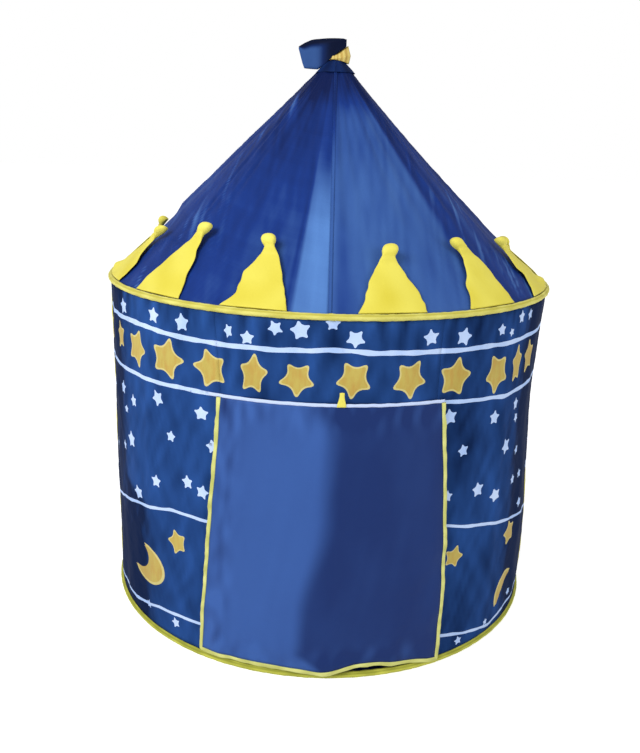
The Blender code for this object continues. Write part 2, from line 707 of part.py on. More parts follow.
def make_flag():
    """A strip of cloth folded over the finial, and the collar it is sewn to."""
    profile = [
        (COLLAR_HOLE_RADIUS, APEX_HEIGHT + COLLAR_TOP),
        (COLLAR_TOP_RADIUS, APEX_HEIGHT + COLLAR_TOP),
        (COLLAR_SHOULDER_RADIUS, APEX_HEIGHT + COLLAR_SHOULDER),
        (COLLAR_HEM_RADIUS, cap_height(COLLAR_HEM_RADIUS) + COLLAR_HEM_GAP),
    ]
    collar = turned("flag_collar", profile, False, 0.0, FULL_TURN, RING_STEPS // 2, YELLOW_CLOTH)
    thicken(collar, CLOTH)

    def place(column, row):
        across, crest, hem, half = FLAG_COLUMN_SHARES[column]
        step = (row - FLAG_LEG_ROWS) / FLAG_LEG_ROWS
        spread = math.sin(min(1.0, abs(step) * 2) * math.pi / 2)
        sideways = math.copysign(FLAG_WIDE * half * spread, step)
        height = APEX_HEIGHT + FLAG_CREST * blend(crest, hem, step**2)
        return Vector((FLAG_LEFT * across, sideways, height))

    sheet("flag", len(FLAG_COLUMN_SHARES) - 1, 2 * FLAG_LEG_ROWS, place, CLOTH, BLUE_CLOTH)


make_ground_sheet()
make_hoop("base_hoop", BASE_HEIGHT)
make_binding("base_binding", BASE_HEIGHT)
make_hoop("eave_hoop", EAVE_HEIGHT)
make_binding("eave_binding", EAVE_HEIGHT)
make_walls()
make_frame()
make_roof()
make_spikes()
make_door()
make_flag()
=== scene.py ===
# %% [markdown]
# # Castle play tent
# The tent is a cloth cover on two springy hoops and four jointed poles. The frame of
# solids is loaded first and never moved: the hard pieces keep their shapes and get better
# materials, and each cloth piece gets a finely folded mesh that rides on the same body.

import json
import random
from functools import partial
from math import atan2, copysign, cos, degrees, exp, hypot, pi, radians, sin, sqrt, tan

import bpy
from mathutils import Matrix, Vector, noise
from mathutils.geometry import delaunay_2d_cdt
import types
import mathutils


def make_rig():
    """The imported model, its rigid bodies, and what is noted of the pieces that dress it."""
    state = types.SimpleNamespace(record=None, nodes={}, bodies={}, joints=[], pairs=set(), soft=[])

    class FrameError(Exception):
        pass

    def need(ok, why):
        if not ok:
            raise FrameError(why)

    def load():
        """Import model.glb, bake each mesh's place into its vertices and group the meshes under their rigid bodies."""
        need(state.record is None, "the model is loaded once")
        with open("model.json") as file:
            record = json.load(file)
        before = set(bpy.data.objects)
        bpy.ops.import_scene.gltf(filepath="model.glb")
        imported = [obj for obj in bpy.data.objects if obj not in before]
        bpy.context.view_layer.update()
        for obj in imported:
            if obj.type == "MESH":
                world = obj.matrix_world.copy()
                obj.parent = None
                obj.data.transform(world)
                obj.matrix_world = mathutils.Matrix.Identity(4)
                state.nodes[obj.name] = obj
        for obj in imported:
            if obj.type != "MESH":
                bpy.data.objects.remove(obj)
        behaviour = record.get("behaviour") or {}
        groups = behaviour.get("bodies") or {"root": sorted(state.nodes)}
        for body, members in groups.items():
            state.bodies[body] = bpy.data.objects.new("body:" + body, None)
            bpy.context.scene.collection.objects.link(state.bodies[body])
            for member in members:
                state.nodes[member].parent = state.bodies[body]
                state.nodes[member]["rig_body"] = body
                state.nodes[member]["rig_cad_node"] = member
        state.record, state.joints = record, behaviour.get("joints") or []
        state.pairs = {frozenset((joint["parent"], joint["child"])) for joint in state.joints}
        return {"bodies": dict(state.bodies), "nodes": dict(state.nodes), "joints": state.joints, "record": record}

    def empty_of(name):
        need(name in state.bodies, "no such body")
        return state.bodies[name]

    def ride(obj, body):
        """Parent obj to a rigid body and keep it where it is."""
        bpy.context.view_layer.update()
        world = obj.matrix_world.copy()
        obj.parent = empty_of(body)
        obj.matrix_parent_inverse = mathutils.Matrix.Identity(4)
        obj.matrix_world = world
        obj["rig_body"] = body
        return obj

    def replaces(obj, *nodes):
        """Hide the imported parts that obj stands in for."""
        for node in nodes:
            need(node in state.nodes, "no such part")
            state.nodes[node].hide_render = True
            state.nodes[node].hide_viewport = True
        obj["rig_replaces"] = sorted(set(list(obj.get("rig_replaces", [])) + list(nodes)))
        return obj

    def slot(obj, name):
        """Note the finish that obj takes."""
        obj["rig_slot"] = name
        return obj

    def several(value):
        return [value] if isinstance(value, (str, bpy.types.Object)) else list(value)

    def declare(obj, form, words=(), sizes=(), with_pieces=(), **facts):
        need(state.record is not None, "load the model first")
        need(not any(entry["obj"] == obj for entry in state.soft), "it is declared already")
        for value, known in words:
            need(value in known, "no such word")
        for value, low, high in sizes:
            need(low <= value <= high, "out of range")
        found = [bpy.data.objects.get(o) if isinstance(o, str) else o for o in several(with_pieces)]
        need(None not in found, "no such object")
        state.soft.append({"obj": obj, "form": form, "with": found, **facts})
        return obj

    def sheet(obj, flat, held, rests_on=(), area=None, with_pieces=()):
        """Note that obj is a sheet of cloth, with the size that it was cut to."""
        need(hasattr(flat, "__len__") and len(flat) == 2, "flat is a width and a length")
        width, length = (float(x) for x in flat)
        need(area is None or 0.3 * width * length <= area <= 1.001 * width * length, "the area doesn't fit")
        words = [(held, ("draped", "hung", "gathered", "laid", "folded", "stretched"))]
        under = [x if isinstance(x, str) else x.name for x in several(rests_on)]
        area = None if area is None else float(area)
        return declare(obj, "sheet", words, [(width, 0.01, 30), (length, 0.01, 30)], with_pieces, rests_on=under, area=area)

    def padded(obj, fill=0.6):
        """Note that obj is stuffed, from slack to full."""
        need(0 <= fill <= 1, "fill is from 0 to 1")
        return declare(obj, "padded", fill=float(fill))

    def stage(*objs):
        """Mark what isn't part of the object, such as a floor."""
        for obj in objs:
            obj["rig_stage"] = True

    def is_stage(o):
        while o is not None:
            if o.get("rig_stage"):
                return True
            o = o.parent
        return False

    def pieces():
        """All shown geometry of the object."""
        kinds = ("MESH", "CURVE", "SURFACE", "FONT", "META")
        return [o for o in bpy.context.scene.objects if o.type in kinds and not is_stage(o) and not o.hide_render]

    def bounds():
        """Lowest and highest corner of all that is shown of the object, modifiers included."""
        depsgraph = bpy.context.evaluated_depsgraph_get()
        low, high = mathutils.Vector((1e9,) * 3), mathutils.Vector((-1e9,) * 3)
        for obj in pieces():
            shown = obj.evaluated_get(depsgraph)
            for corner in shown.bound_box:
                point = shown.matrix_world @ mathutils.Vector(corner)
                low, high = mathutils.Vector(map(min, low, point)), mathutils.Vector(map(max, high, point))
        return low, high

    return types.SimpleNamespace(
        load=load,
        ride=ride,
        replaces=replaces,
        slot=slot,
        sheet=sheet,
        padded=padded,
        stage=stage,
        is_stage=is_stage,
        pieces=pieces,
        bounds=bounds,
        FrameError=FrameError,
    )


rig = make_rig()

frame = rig.load()
CAD_BOX = [list(corner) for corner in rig.bounds()]
print("solids:", len(frame["nodes"]), "bodies:", len(frame["bodies"]))

# %% [markdown]
# ## Sizes that the cloth shares with the frame
# These repeat the tent's own sizes, in metres, so that each fold starts from the place
# where the solid has it. An azimuth of 0 degrees is the doorway, which faces -Y.

# %% Sizes
RING_RADIUS = 0.519
EAVE_HEIGHT = 0.775
APEX_HEIGHT = 1.28
BASE_HEIGHT = 0.00618
BINDING_RADIUS = 0.0065
BINDING_FLAT = 0.00618
SOLID_CLOTH = 0.0012
GAP = 0.0003
WAIST = 0.008
ROOF_SAG = 0.008
POLE_AZIMUTH = 45.0
POLE_SPACING = 90.0
DOORWAY = 25.0
DOORWAY_TOP = 0.6
SIDE_SEAM = 80.0
BACK_SEAM = 180.0
WALL_LOW = BASE_HEIGHT + BINDING_FLAT + GAP
WALL_HIGH = EAVE_HEIGHT - BINDING_FLAT - GAP
ROOF_ANGLE = atan2(APEX_HEIGHT - EAVE_HEIGHT, RING_RADIUS)
ROOF_LENGTH = hypot(APEX_HEIGHT - EAVE_HEIGHT, RING_RADIUS)
CLOTH = 0.0006
print(f"roof slope {degrees(ROOF_ANGLE):.1f} degrees, {ROOF_LENGTH * 1000:.0f} mm long")

# %% [markdown]
# ## Small helpers for curved cloth
# A point on a wall or roof is easiest to give by azimuth and height, and a fold is a small
# distance along the outward direction. Perlin noise gives the same folds on each run.


# %% Helpers
def polar(radius, azimuth, height=0.0):
    turn = radians(azimuth)
    return Vector((radius * sin(turn), -radius * cos(turn), height))


def blend(start, end, share):
    return start + (end - start) * share


def ease(share):
    """0 below 0, 1 above 1 and smooth between them."""
    share = min(1.0, max(0.0, share))
    return share * share * (3.0 - 2.0 * share)


def bump(value, middle, spread):
    """1 at the middle, falling smoothly to 0 a few spreads away."""
    return exp(-(((value - middle) / spread) ** 2))


def ripple(u, v, seed):
    """Noise from about -1 to 1 at this place in its own units."""
    return noise.noise(Vector((u, v, seed * 7.31))) * 1.6


def arc(azimuth):
    """Length round the ring from the doorway's middle, in metres."""
    return radians(azimuth) * RING_RADIUS


def wrapped(azimuth):
    """The same direction as an azimuth from -180 to 180 degrees."""
    return azimuth if azimuth <= 180.0 else azimuth - 360.0


def between(rows, share):
    """The row at this share of the way through a table, blended from its two neighbours."""
    place = share * (len(rows) - 1)
    k = min(int(place), len(rows) - 2)
    return [blend(a, b, place - k) for a, b in zip(rows[k], rows[k + 1])]


def away_from_pole(azimuth):
    """0 over a pole and 1 halfway to the next one."""
    half = POLE_SPACING / 2
    distance = abs((azimuth - POLE_AZIMUTH + half) % POLE_SPACING - half)
    return sin(pi / 2 * distance / half)


# %% [markdown]
# ## One way to make every material
# A material is a small tree of nodes. One function adds a node with its settings and its
# inputs, and a colour is written as the hex value that a picture editor shows.


# %% Node and colour helpers
def linear(colour):
    """An sRGB hex colour as the linear values that shaders use."""
    channels = [int(colour[k : k + 2], 16) / 255 for k in (1, 3, 5)]
    return (*[c / 12.92 if c <= 0.04045 else ((c + 0.055) / 1.055) ** 2.4 for c in channels], 1.0)


def add_node(tree, kind, inputs=None, **settings):
    """Adds a node; an input is a value, an output socket, or a node for its first output."""
    made = tree.nodes.new(kind)
    for name, value in settings.items():
        setattr(made, name, value)
    for name, value in (inputs or {}).items():
        if isinstance(value, bpy.types.Node):
            value = value.outputs[0]
        if isinstance(value, bpy.types.NodeSocket):
            tree.links.new(value, made.inputs[name])
        else:
            made.inputs[name].default_value = value
    return made


def new_material(name):
    """An empty material, and the function that adds nodes to it."""
    material = bpy.data.materials.new(name)
    material.use_nodes = True
    material.node_tree.nodes.clear()
    return material, partial(add_node, material.node_tree)


# %% [markdown]
# ## Taffeta
# The cover is polyester taffeta, a plain weave of flat shiny threads. Real threads are
# about 0.15 mm apart, too fine for a picture of a whole tent, so the weave here is drawn
# 1.5 mm apart. Taffeta keeps sharp little creases, catches light in soft bands and turns
# paler where it is drawn tight, which the piece's own "tone" value says.

# %% Taffeta material
WEAVE_PITCH_MM, CREASE_MM, CLOUD_MM = 1.5, 22.0, 140.0
WAVES_A_UNIT = 20  # a wave texture draws about this many bands in 2 pi units
WASH_LONG_MM, WASH_WIDE_MM, WASH_SHARE = 34.0, 9.0, 0.42
MIDDLE_TONE = 0.3


def taffeta(name, dark, light, roughness=0.5, sheen=0.06, gloss=0.14, middle=None, wash=None):
    """Woven polyester: colour from dark to light by tone, with weave and creases as bump."""
    material, add = new_material(name)
    flat = add("ShaderNodeAttribute", attribute_name="flat_m").outputs["Vector"]
    tone = add("ShaderNodeAttribute", attribute_name="tone").outputs["Fac"]
    cloud = add("ShaderNodeTexNoise", {"Vector": flat, "Scale": 1000 / CLOUD_MM, "Detail": 3.0})
    shade = add("ShaderNodeMath", {0: cloud, 1: 0.16, 2: -0.08}, operation="MULTIPLY_ADD")
    mixed = add("ShaderNodeMath", {0: tone, 1: shade}, operation="ADD", use_clamp=True)
    if middle:
        colour = add("ShaderNodeValToRGB", {"Fac": mixed})
        colour.color_ramp.elements.new(MIDDLE_TONE)
        for stop, value in zip(colour.color_ramp.elements, (dark, middle, light)):
            stop.color = linear(value)
    else:
        ends = {"Factor": mixed, "A": linear(dark), "B": linear(light)}
        colour = add("ShaderNodeMix", ends, data_type="RGBA").outputs["Result"]
    if wash:
        scale = (1000 / WASH_WIDE_MM, 1000 / WASH_LONG_MM, 1.0)
        stretched = add("ShaderNodeMapping", {"Vector": flat, "Scale": scale})
        cloud = add("ShaderNodeTexNoise", {"Vector": stretched, "Scale": 1.0, "Detail": 4.0})
        limits = {"Value": cloud, "From Min": 0.42, "From Max": 0.68, "To Max": WASH_SHARE}
        share = add("ShaderNodeMapRange", limits)
        ends = {"Factor": share, "A": colour, "B": linear(wash)}
        colour = add("ShaderNodeMix", ends, data_type="RGBA").outputs["Result"]
    bands = {"Vector": flat, "Scale": 1000 / WEAVE_PITCH_MM / WAVES_A_UNIT}
    waves = [add("ShaderNodeTexWave", bands, bands_direction=way).outputs["Fac"] for way in "XY"]
    weave = add("ShaderNodeMath", {0: waves[0], 1: waves[1]}, operation="MAXIMUM")
    soft = {"Vector": flat, "Scale": 1000 / CREASE_MM, "Detail": 2.0, "Distortion": 0.6}
    creases = add("ShaderNodeTexNoise", soft)
    relief = add("ShaderNodeBump", {"Height": creases, "Strength": 0.5, "Distance": 0.0016})
    fine = {"Height": weave, "Strength": 0.25, "Distance": 0.0001, "Normal": relief}
    shader = add("ShaderNodeBsdfPrincipled", {
        "Base Color": colour, "Roughness": roughness, "IOR": 1.5, "Specular IOR Level": gloss,
        "Sheen Weight": sheen, "Sheen Roughness": 0.4, "Sheen Tint": linear(light),
        "Normal": add("ShaderNodeBump", fine),
    })
    add("ShaderNodeOutputMaterial", {"Surface": shader})
    return material


ROOF_BLUE = taffeta("taffeta_royal_blue", "#0b1a48", "#537ebe", 0.55, 0.02, 0.07, "#16337a")
DOOR_BLUE = taffeta("taffeta_door_blue", "#06266f", "#4474bc")
WALL_NAVY = taffeta("taffeta_navy_ground", "#0a1c3f", "#3461ae", 0.6, 0.0, 0.01)
FLAG_BLUE = taffeta("taffeta_flag_blue", "#050a1e", "#4a72b4", 0.6, 0.0, 0.05, "#0f2453")
BLUE_REVERSE = taffeta("taffeta_blue_reverse", "#122a60", "#35589b", 0.6)
print("blue cloths:", [m.name for m in (ROOF_BLUE, DOOR_BLUE, WALL_NAVY, FLAG_BLUE, BLUE_REVERSE)])

# %% [markdown]
# ## Inks, tapes and padding cloth
# The stars are screen-printed: the same taffeta with a layer of ink, so they share its
# weave and creases. The gold ink is washed with orange and olive, and its edges dry
# paler. Tapes and the crown are a duller yellow cloth.

# %% Inks and yellow cloths
WHITE_INK = taffeta("screen_ink_white", "#9db8e6", "#d6e4fa", 0.5)
GOLD_INK = taffeta("screen_ink_gold", "#a99345", "#c8b862", 0.5, 0.04, wash="#b07c38")
GOLD_EDGE = taffeta("screen_ink_gold_edge", "#b9ab62", "#d6cd92", 0.5)
CROWN_YELLOW = taffeta("padded_yellow_satin", "#cdbe38", "#e6dd66", 0.5)
COLLAR_GOLD = taffeta("gathered_gold_satin", "#a98539", "#dcc876", 0.5)
TAPE_YELLOW = taffeta("woven_yellow_tape", "#b7ae48", "#dfda7c", 0.6)
TAPE_OLIVE = taffeta("woven_yellow_green_tape", "#8f9130", "#cbcb55", 0.6)
TAPE_PALE = taffeta("woven_pale_yellow_tape", "#a9ab57", "#d9da88", 0.6)
TAPE_WHITE = taffeta("woven_white_tape", "#9db0da", "#cfdbf4", 0.6)
yellows = CROWN_YELLOW, COLLAR_GOLD, TAPE_YELLOW, TAPE_OLIVE, TAPE_PALE
print("yellow cloths:", [m.name for m in yellows])


# %% [markdown]
# ## Hard pieces
# Poles, elbows, cups and the hub are moulded or extruded plastic, smooth with a faint
# haze, and the hoops are pulled fibre rod with a glossy resin skin. Their solids already
# have the right shape, so they only get a material.


# %% Plastics
def plastic(name, base, shade, roughness, grain_mm, ior):
    material, add = new_material(name)
    place = add("ShaderNodeTexCoord").outputs["Object"]
    cloud = add("ShaderNodeTexNoise", {"Vector": place, "Scale": 1000 / 60, "Detail": 3.0})
    ends = {"Factor": cloud, "A": linear(base), "B": linear(shade)}
    colour = add("ShaderNodeMix", ends, data_type="RGBA").outputs["Result"]
    grain = add("ShaderNodeTexNoise", {"Vector": place, "Scale": 1000 / grain_mm, "Detail": 2.0})
    limits = {"Value": grain, "To Min": roughness - 0.06, "To Max": roughness + 0.08}
    rough = add("ShaderNodeMapRange", limits)
    relief = add("ShaderNodeBump", {"Height": grain, "Strength": 0.15, "Distance": 0.0002})
    look = {"Base Color": colour, "Roughness": rough, "IOR": ior, "Normal": relief}
    shader = add("ShaderNodeBsdfPrincipled", look)
    add("ShaderNodeOutputMaterial", {"Surface": shader})
    return material


WHITE_PLASTIC = plastic("moulded_white_polypropylene", "#e9e8e2", "#dcdbd2", 0.38, 1.6, 1.49)
BLACK_PLASTIC = plastic("moulded_black_polypropylene", "#15161a", "#24262b", 0.35, 1.2, 1.49)
HOOP_ROD = plastic("pultruded_fibre_rod", "#dedacb", "#c9c3ae", 0.3, 0.9, 1.55)
HARD = dict.fromkeys(("wall_pole", "roof_pole", "eave_elbow", "foot_cup", "apex_hub"), WHITE_PLASTIC)
HARD.update(base_hoop=HOOP_ROD, eave_hoop=HOOP_ROD, finial=BLACK_PLASTIC)
for name, node in frame["nodes"].items():
    for start, material in HARD.items():
        if name.startswith(start):
            node.material_slots[0].material = WHITE_PLASTIC if name.endswith("splice") else material
print("hard pieces kept:", sum(n.startswith(tuple(HARD)) for n in frame["nodes"]))

# %% [markdown]
# ## From a flat pattern to a folded mesh
# Each cloth piece is first a flat pattern. Every point keeps its flat place in metres,
# which the weave follows, and its tone, and is then moved to its place on the tent.
# Solidify gives the cloth two sides and a real edge.


# %% Building a cloth piece
def build(name, points, faces, flats, tones, materials, indices=None):
    mesh = bpy.data.meshes.new(name)
    mesh.from_pydata([tuple(p) for p in points], [], faces)
    for material in materials:
        mesh.materials.append(material)
    if indices:
        mesh.polygons.foreach_set("material_index", indices)
    mesh.polygons.foreach_set("use_smooth", [True] * len(mesh.polygons))
    place = mesh.attributes.new("flat_m", "FLOAT_VECTOR", "POINT")
    place.data.foreach_set("vector", [c for u, v in flats for c in (u, v, 0.0)])
    tone = mesh.attributes.new("tone", "FLOAT", "POINT")
    tone.data.foreach_set("value", tones)
    mesh.update()
    item = bpy.data.objects.new(name, mesh)
    bpy.context.scene.collection.objects.link(item)
    return item


def thicken(item, thickness, offset=0.0):
    """Gives the cloth two sides; the last of its materials is the reverse."""
    solid = item.modifiers.new("thickness", "SOLIDIFY")
    solid.thickness = thickness
    solid.offset = offset
    solid.use_even_offset = True
    solid.material_offset = len(item.data.materials) - 1
    return item


def sheet(name, columns, rows, place, flat, tone, materials, thickness=CLOTH, offset=0.0):
    """A grid over (s, t) from 0 to 1, placed, laid flat and toned by a function each."""
    shares = [(c / columns, r / rows) for r in range(rows + 1) for c in range(columns + 1)]
    faces = [
        (k, k + 1, k + columns + 2, k + columns + 1)
        for r in range(rows)
        for k in range(r * (columns + 1), r * (columns + 1) + columns)
    ]
    points, flats, tones = ([get(s, t) for s, t in shares] for get in (place, flat, tone))
    return thicken(build(name, points, faces, flats, tones, materials), thickness, offset)


def settle(item, body, node, slot):
    """The piece moves with its body, stands for its node and takes its finish from a slot."""
    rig.ride(item, body)
    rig.replaces(item, node)
    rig.slot(item, slot)
    return item


# %% [markdown]
# ## Stitching
# Every seam is closed with a row of lockstitch. Each stitch is a small lozenge of thread
# that lies on the tape. Real stitches are about 3 mm long, and these are 5 mm, so that a
# row still reads as separate stitches from a step away.

# %% Stitches
STITCH_PITCH = 0.005
STITCH_LENGTH = 0.0036
STITCH_RADIUS = 0.00045


def stitches(name, path, material, body):
    """Lozenges along a path of (point, outward) pairs, as one piece of thread."""
    points, faces, gone, next_at = [], [], 0.0, 0.0
    for (start, outward), (end, _) in zip(path, path[1:]):
        along = end - start
        length = along.length
        while next_at < gone + length:
            middle = start + along * ((next_at - gone) / length)
            ahead = along.normalized() * (STITCH_LENGTH / 2)
            side = along.cross(outward).normalized() * STITCH_RADIUS
            up = outward.normalized() * STITCH_RADIUS
            first = len(points)
            points += [middle - ahead, middle + ahead]
            points += [middle + side, middle + up, middle - side, middle - up]
            for k in range(4):
                a, b = first + 2 + k, first + 2 + (k + 1) % 4
                faces += [(first, a, b), (first + 1, b, a)]
            next_at += STITCH_PITCH
        gone += length
    flats, tones = [(p.x, p.z) for p in points], [0.5] * len(points)
    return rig.ride(build(name, points, faces, flats, tones, [material]), body)


# %% [markdown]
# ## The walls' shape
# The wall hangs from the upper hoop and is drawn in a little between the poles. Over that
# lie four sizes of fold: long soft folds from hoop to hoop, slanting pulls from the pole
# ends, small gathers under the binding and fine crumples from being packed in a bag. In each
# line below, the first number is a fold's size, and the divisors are its lengths in metres.


# %% Wall folds
def wall_fold(azimuth, height):
    """How far the cloth stands out from its plain curve here, in metres."""
    high = WALL_HIGH - height
    held = ease(high / 0.018) * ease((height - WALL_LOW) / 0.018)
    across = arc(azimuth)
    loose = 0.25 + 0.75 * away_from_pole(azimuth)
    long_folds = 0.0024 * ripple(across / 0.06, height / 0.55, 1) * loose
    slants = 0.0016 * ripple((across + 0.45 * height) / 0.045, (height - 0.5 * across) / 0.3, 2)
    slants += 0.0014 * ripple((across - 0.5 * height) / 0.05, (height + 0.5 * across) / 0.28, 3)
    gathers = 0.0016 * ripple(across / 0.02, high / 0.4, 4) * exp(-high / 0.05)
    gathers += 0.0015 * ripple(across / 0.024, high / 0.4, 5) * exp(-(height - WALL_LOW) / 0.04)
    crumples = 0.00045 * ripple(across / 0.013, height / 0.013, 6)
    return held * (long_folds + slants * loose + gathers + crumples)


def wall_point(azimuth, height):
    share = height / EAVE_HEIGHT
    azimuth += 1.25 * bump(azimuth, -DOORWAY, 4.5) * bump(height, DOORWAY_TOP, 0.1)
    drawn_in = WAIST * sin(pi * share) * away_from_pole(azimuth)
    slack = 0.006 * sin(pi * share) * bump(azimuth, -88.0, 36.0)
    slack += 0.009 * sin(2 * pi * share) * bump(azimuth, 88.0, 36.0)
    crease = 0.0018 * bump(abs(abs(azimuth) - POLE_AZIMUTH - 1.5), 0.0, 1.6) * sin(pi * share)
    radius = RING_RADIUS - drawn_in + slack + crease + wall_fold(azimuth, height)
    return polar(radius, azimuth, height)


def wall_tone(azimuth, height):
    """Pale where the cloth is drawn tight or folded to the light, dark towards the side seams."""
    across, high = arc(azimuth), WALL_HIGH - height
    tone = 0.34 + 0.11 * ripple(across / 0.1, height / 0.25, 11)
    tone += 0.08 * ripple((across + 0.6 * height) / 0.035, (height - 0.6 * across) / 0.2, 12)
    tone += 0.1 * ripple((across - 0.4 * height) / 0.016, (height + 0.4 * across) / 0.06, 15)
    tone += 0.26 * ripple(across / 0.022, high / 0.11, 13) * exp(-high / 0.09)
    tone += 0.18 * bump(abs(abs(azimuth) - POLE_AZIMUTH), 0.0, 3.0) * ripple(1.0, height / 0.1, 14)
    edge = 52.0 if azimuth > 0 else 56.0 - 12.0 * ease((0.34 - height) / 0.04)
    side = ease((abs(azimuth) - edge) / 9.0) * (1 - ease((abs(azimuth) - 92.0) / 24.0))
    return tone - 0.42 * side - 0.09 * ease((azimuth - 20) / 10)


# %% [markdown]
# ## The print
# The pattern is cut into the mesh itself. Stars, moons and lines are drawn as outlines on
# the flat wall, a triangulation joins them with a grid of points, and each triangle inside
# an outline gets its ink. Where the stars go is a table of azimuth, height, size in
# millimetres and turn; a fifth number makes a star or moon narrower or wider. A line has a
# width, and the (azimuth, height) places that it runs through.

# %% What is printed where
WHITE_STARS = [
    (-57.9, 0.734, 20, 10), (-43.0, 0.739, 18, -8), (-33.8, 0.736, 20, 5), (-21.8, 0.735, 15, 20, 0.7),
    (-17.3, 0.726, 15, 0), (-11.2, 0.749, 16, 30), (-6.0, 0.747, 21, 12), (0.7, 0.762, 15, 0),
    (5.5, 0.733, 20, 36), (22.1, 0.733, 18, 8), (30.6, 0.729, 20, -14), (42.6, 0.731, 14, 5),
    (46.7, 0.721, 10, 20), (50.8, 0.748, 15, 0), (56.1, 0.747, 14, 14),
    (-60.5, 0.546, 17, 0), (-53.7, 0.531, 15, 15), (-42.3, 0.564, 18, 30), (-29.2, 0.557, 16, 4),
    (-55.8, 0.436, 21, 8), (-38.1, 0.489, 14, -6), (-26.2, 0.492, 16, 18), (-43.7, 0.374, 16, 0),
    (-52.6, 0.319, 17, 25, 1.4), (-33.2, 0.398, 16, 10), (-28.8, 0.386, 17, -12),
    (-48.6, 0.054, 11, 0), (-37.8, 0.049, 13, 20), (-58.5, 0.5, 10, 3), (-61.5, 0.405, 13, 9),
    (28.7, 0.565, 18, 10), (43.1, 0.542, 17, -5), (33.4, 0.486, 15, 12), (49.5, 0.463, 20, 20),
    (53.7, 0.551, 16, 0, 0.8), (54.6, 0.517, 12, 30), (39.2, 0.388, 18, 6), (46.0, 0.359, 17, 20, 1.2),
    (55.8, 0.367, 13, 0), (57.1, 0.435, 13, 12), (61.1, 0.366, 12, 4), (62.3, 0.29, 14, 16),
    (29.8, 0.39, 14, 0), (36.7, 0.03, 11, 10), (47.1, 0.04, 9, 0), (61.0, 0.06, 11, 20),
]
GOLD_STARS = [
    (-61.0, 0.666, 34, 8, 0.75), (-50.9, 0.655, 42, -20, 0.93), (-38.9, 0.655, 44, -14, 1.1),
    (-26.8, 0.655, 40, 15, 0.9), (-16.1, 0.654, 42, -7, 0.74), (-6.4, 0.653, 36, 34),
    (5.5, 0.653, 40, 30, 0.92), (17.8, 0.653, 41, 42, 0.88), (29.2, 0.647, 44, -10, 0.92),
    (42.4, 0.64, 45, 30, 0.88), (51.3, 0.645, 45, 2, 0.56), (59.3, 0.65, 39, 10, 0.76),
    (-36.8, 0.25, 30, 20, 0.9), (33.1, 0.245, 26, -20), (56.1, 0.236, 32, 10),
]
MOONS = [
    (-49.0, 0.157, 47, -24, 124, 0.05, 1.45), (56.5, 0.084, 52, 132, 77, 0.42, 1.0),
    (113.0, 0.15, 44, 150, 132, -0.05, 1.0), (-126.0, 0.13, 44, 200, 130, 0.0, 1.0),
]
LINES = [
    (0.0098, (-180, 0.708), (-80, 0.71), (-48, 0.71), (-24, 0.706), (0, 0.71), (28, 0.703),
     (44, 0.7), (80, 0.698), (180, 0.708)),
    (0.0086, (-180, 0.6), (-80, 0.596), (-48, 0.597), (-24, 0.604), (0, 0.604), (28, 0.597),
     (46, 0.585), (80, 0.582), (180, 0.6)),
    (0.0072, (-180, 0.318), (-150, 0.31), (-110, 0.245), (-80, 0.232), (-60, 0.278), (-39, 0.32),
     (-27, 0.324), (30, 0.324), (36, 0.311), (60, 0.264), (80, 0.23), (112, 0.245), (150, 0.312),
     (180, 0.318)),
    (0.007, (-180, 0.068), (-150, 0.07), (-110, 0.056), (-80, 0.036), (-56, 0.04), (-44, 0.066),
     (-29, 0.075), (30, 0.061), (49, 0.026), (54, 0.031), (80, 0.046), (112, 0.06), (150, 0.072),
     (180, 0.068)),
]
DOOR_LINE = 1  # this line isn't printed over the door, where the header tape runs
print("in front:", len(WHITE_STARS), "white stars and", len(GOLD_STARS), "gold ones")


# %% Outlines of stars, moons and lines
def star_outline(x, y, radius, turn, waist, rounds, wide=1.0):
    """A five-pointed star; each round of corner cutting makes its points softer."""
    corners = []
    for k in range(10):
        angle = radians(90 + turn + 36 * k)
        uneven = 1 + 0.1 * ripple(x / 0.011 + k * 1.7, y / 0.013, 20)
        reach = radius * (1.0 if k % 2 == 0 else waist) * uneven
        corners.append((x + wide * reach * cos(angle), y + reach * sin(angle)))
    for _ in range(rounds):
        softer = []
        for (ax, ay), (bx, by) in zip(corners, corners[1:] + corners[:1]):
            softer += [(blend(ax, bx, share), blend(ay, by, share)) for share in (0.22, 0.78)]
        corners = softer
    return corners


def moon_outline(x, y, radius, turn, horns, depth, wide):
    """A crescent: an outer arc, and an inner arc that joins its horns at this depth."""
    horn_x, horn_y = cos(radians(horns)), sin(radians(horns))
    centre = (horn_x**2 + horn_y**2 - depth**2) / (2 * (horn_x - depth))
    inner = abs(depth - centre)
    span = atan2(horn_y, horn_x - centre)
    outer = [radians(a) for a in range(-horns, horns + 1, 8)]
    points = [(cos(a), sin(a)) for a in outer]
    turns = [blend(span, -span, k / 24) for k in range(1, 24)]
    points += [(centre + inner * cos(a), inner * sin(a)) for a in turns]
    c, s = cos(radians(turn)) * radius, sin(radians(turn)) * radius
    return [(x + wide * (px * c - py * s), y + px * s + py * c) for px, py in points]


def line_height(number, azimuth):
    """The middle of a printed line, from its table of (azimuth, height) places."""
    places = LINES[number][1:]
    for (a, low), (b, high) in zip(places, places[1:]):
        if azimuth <= b:
            wobble = 0.0014 * ripple(arc(azimuth) / 0.05, number, 21)
            return blend(low, high, (azimuth - a) / (b - a)) + wobble
    return places[-1][1]


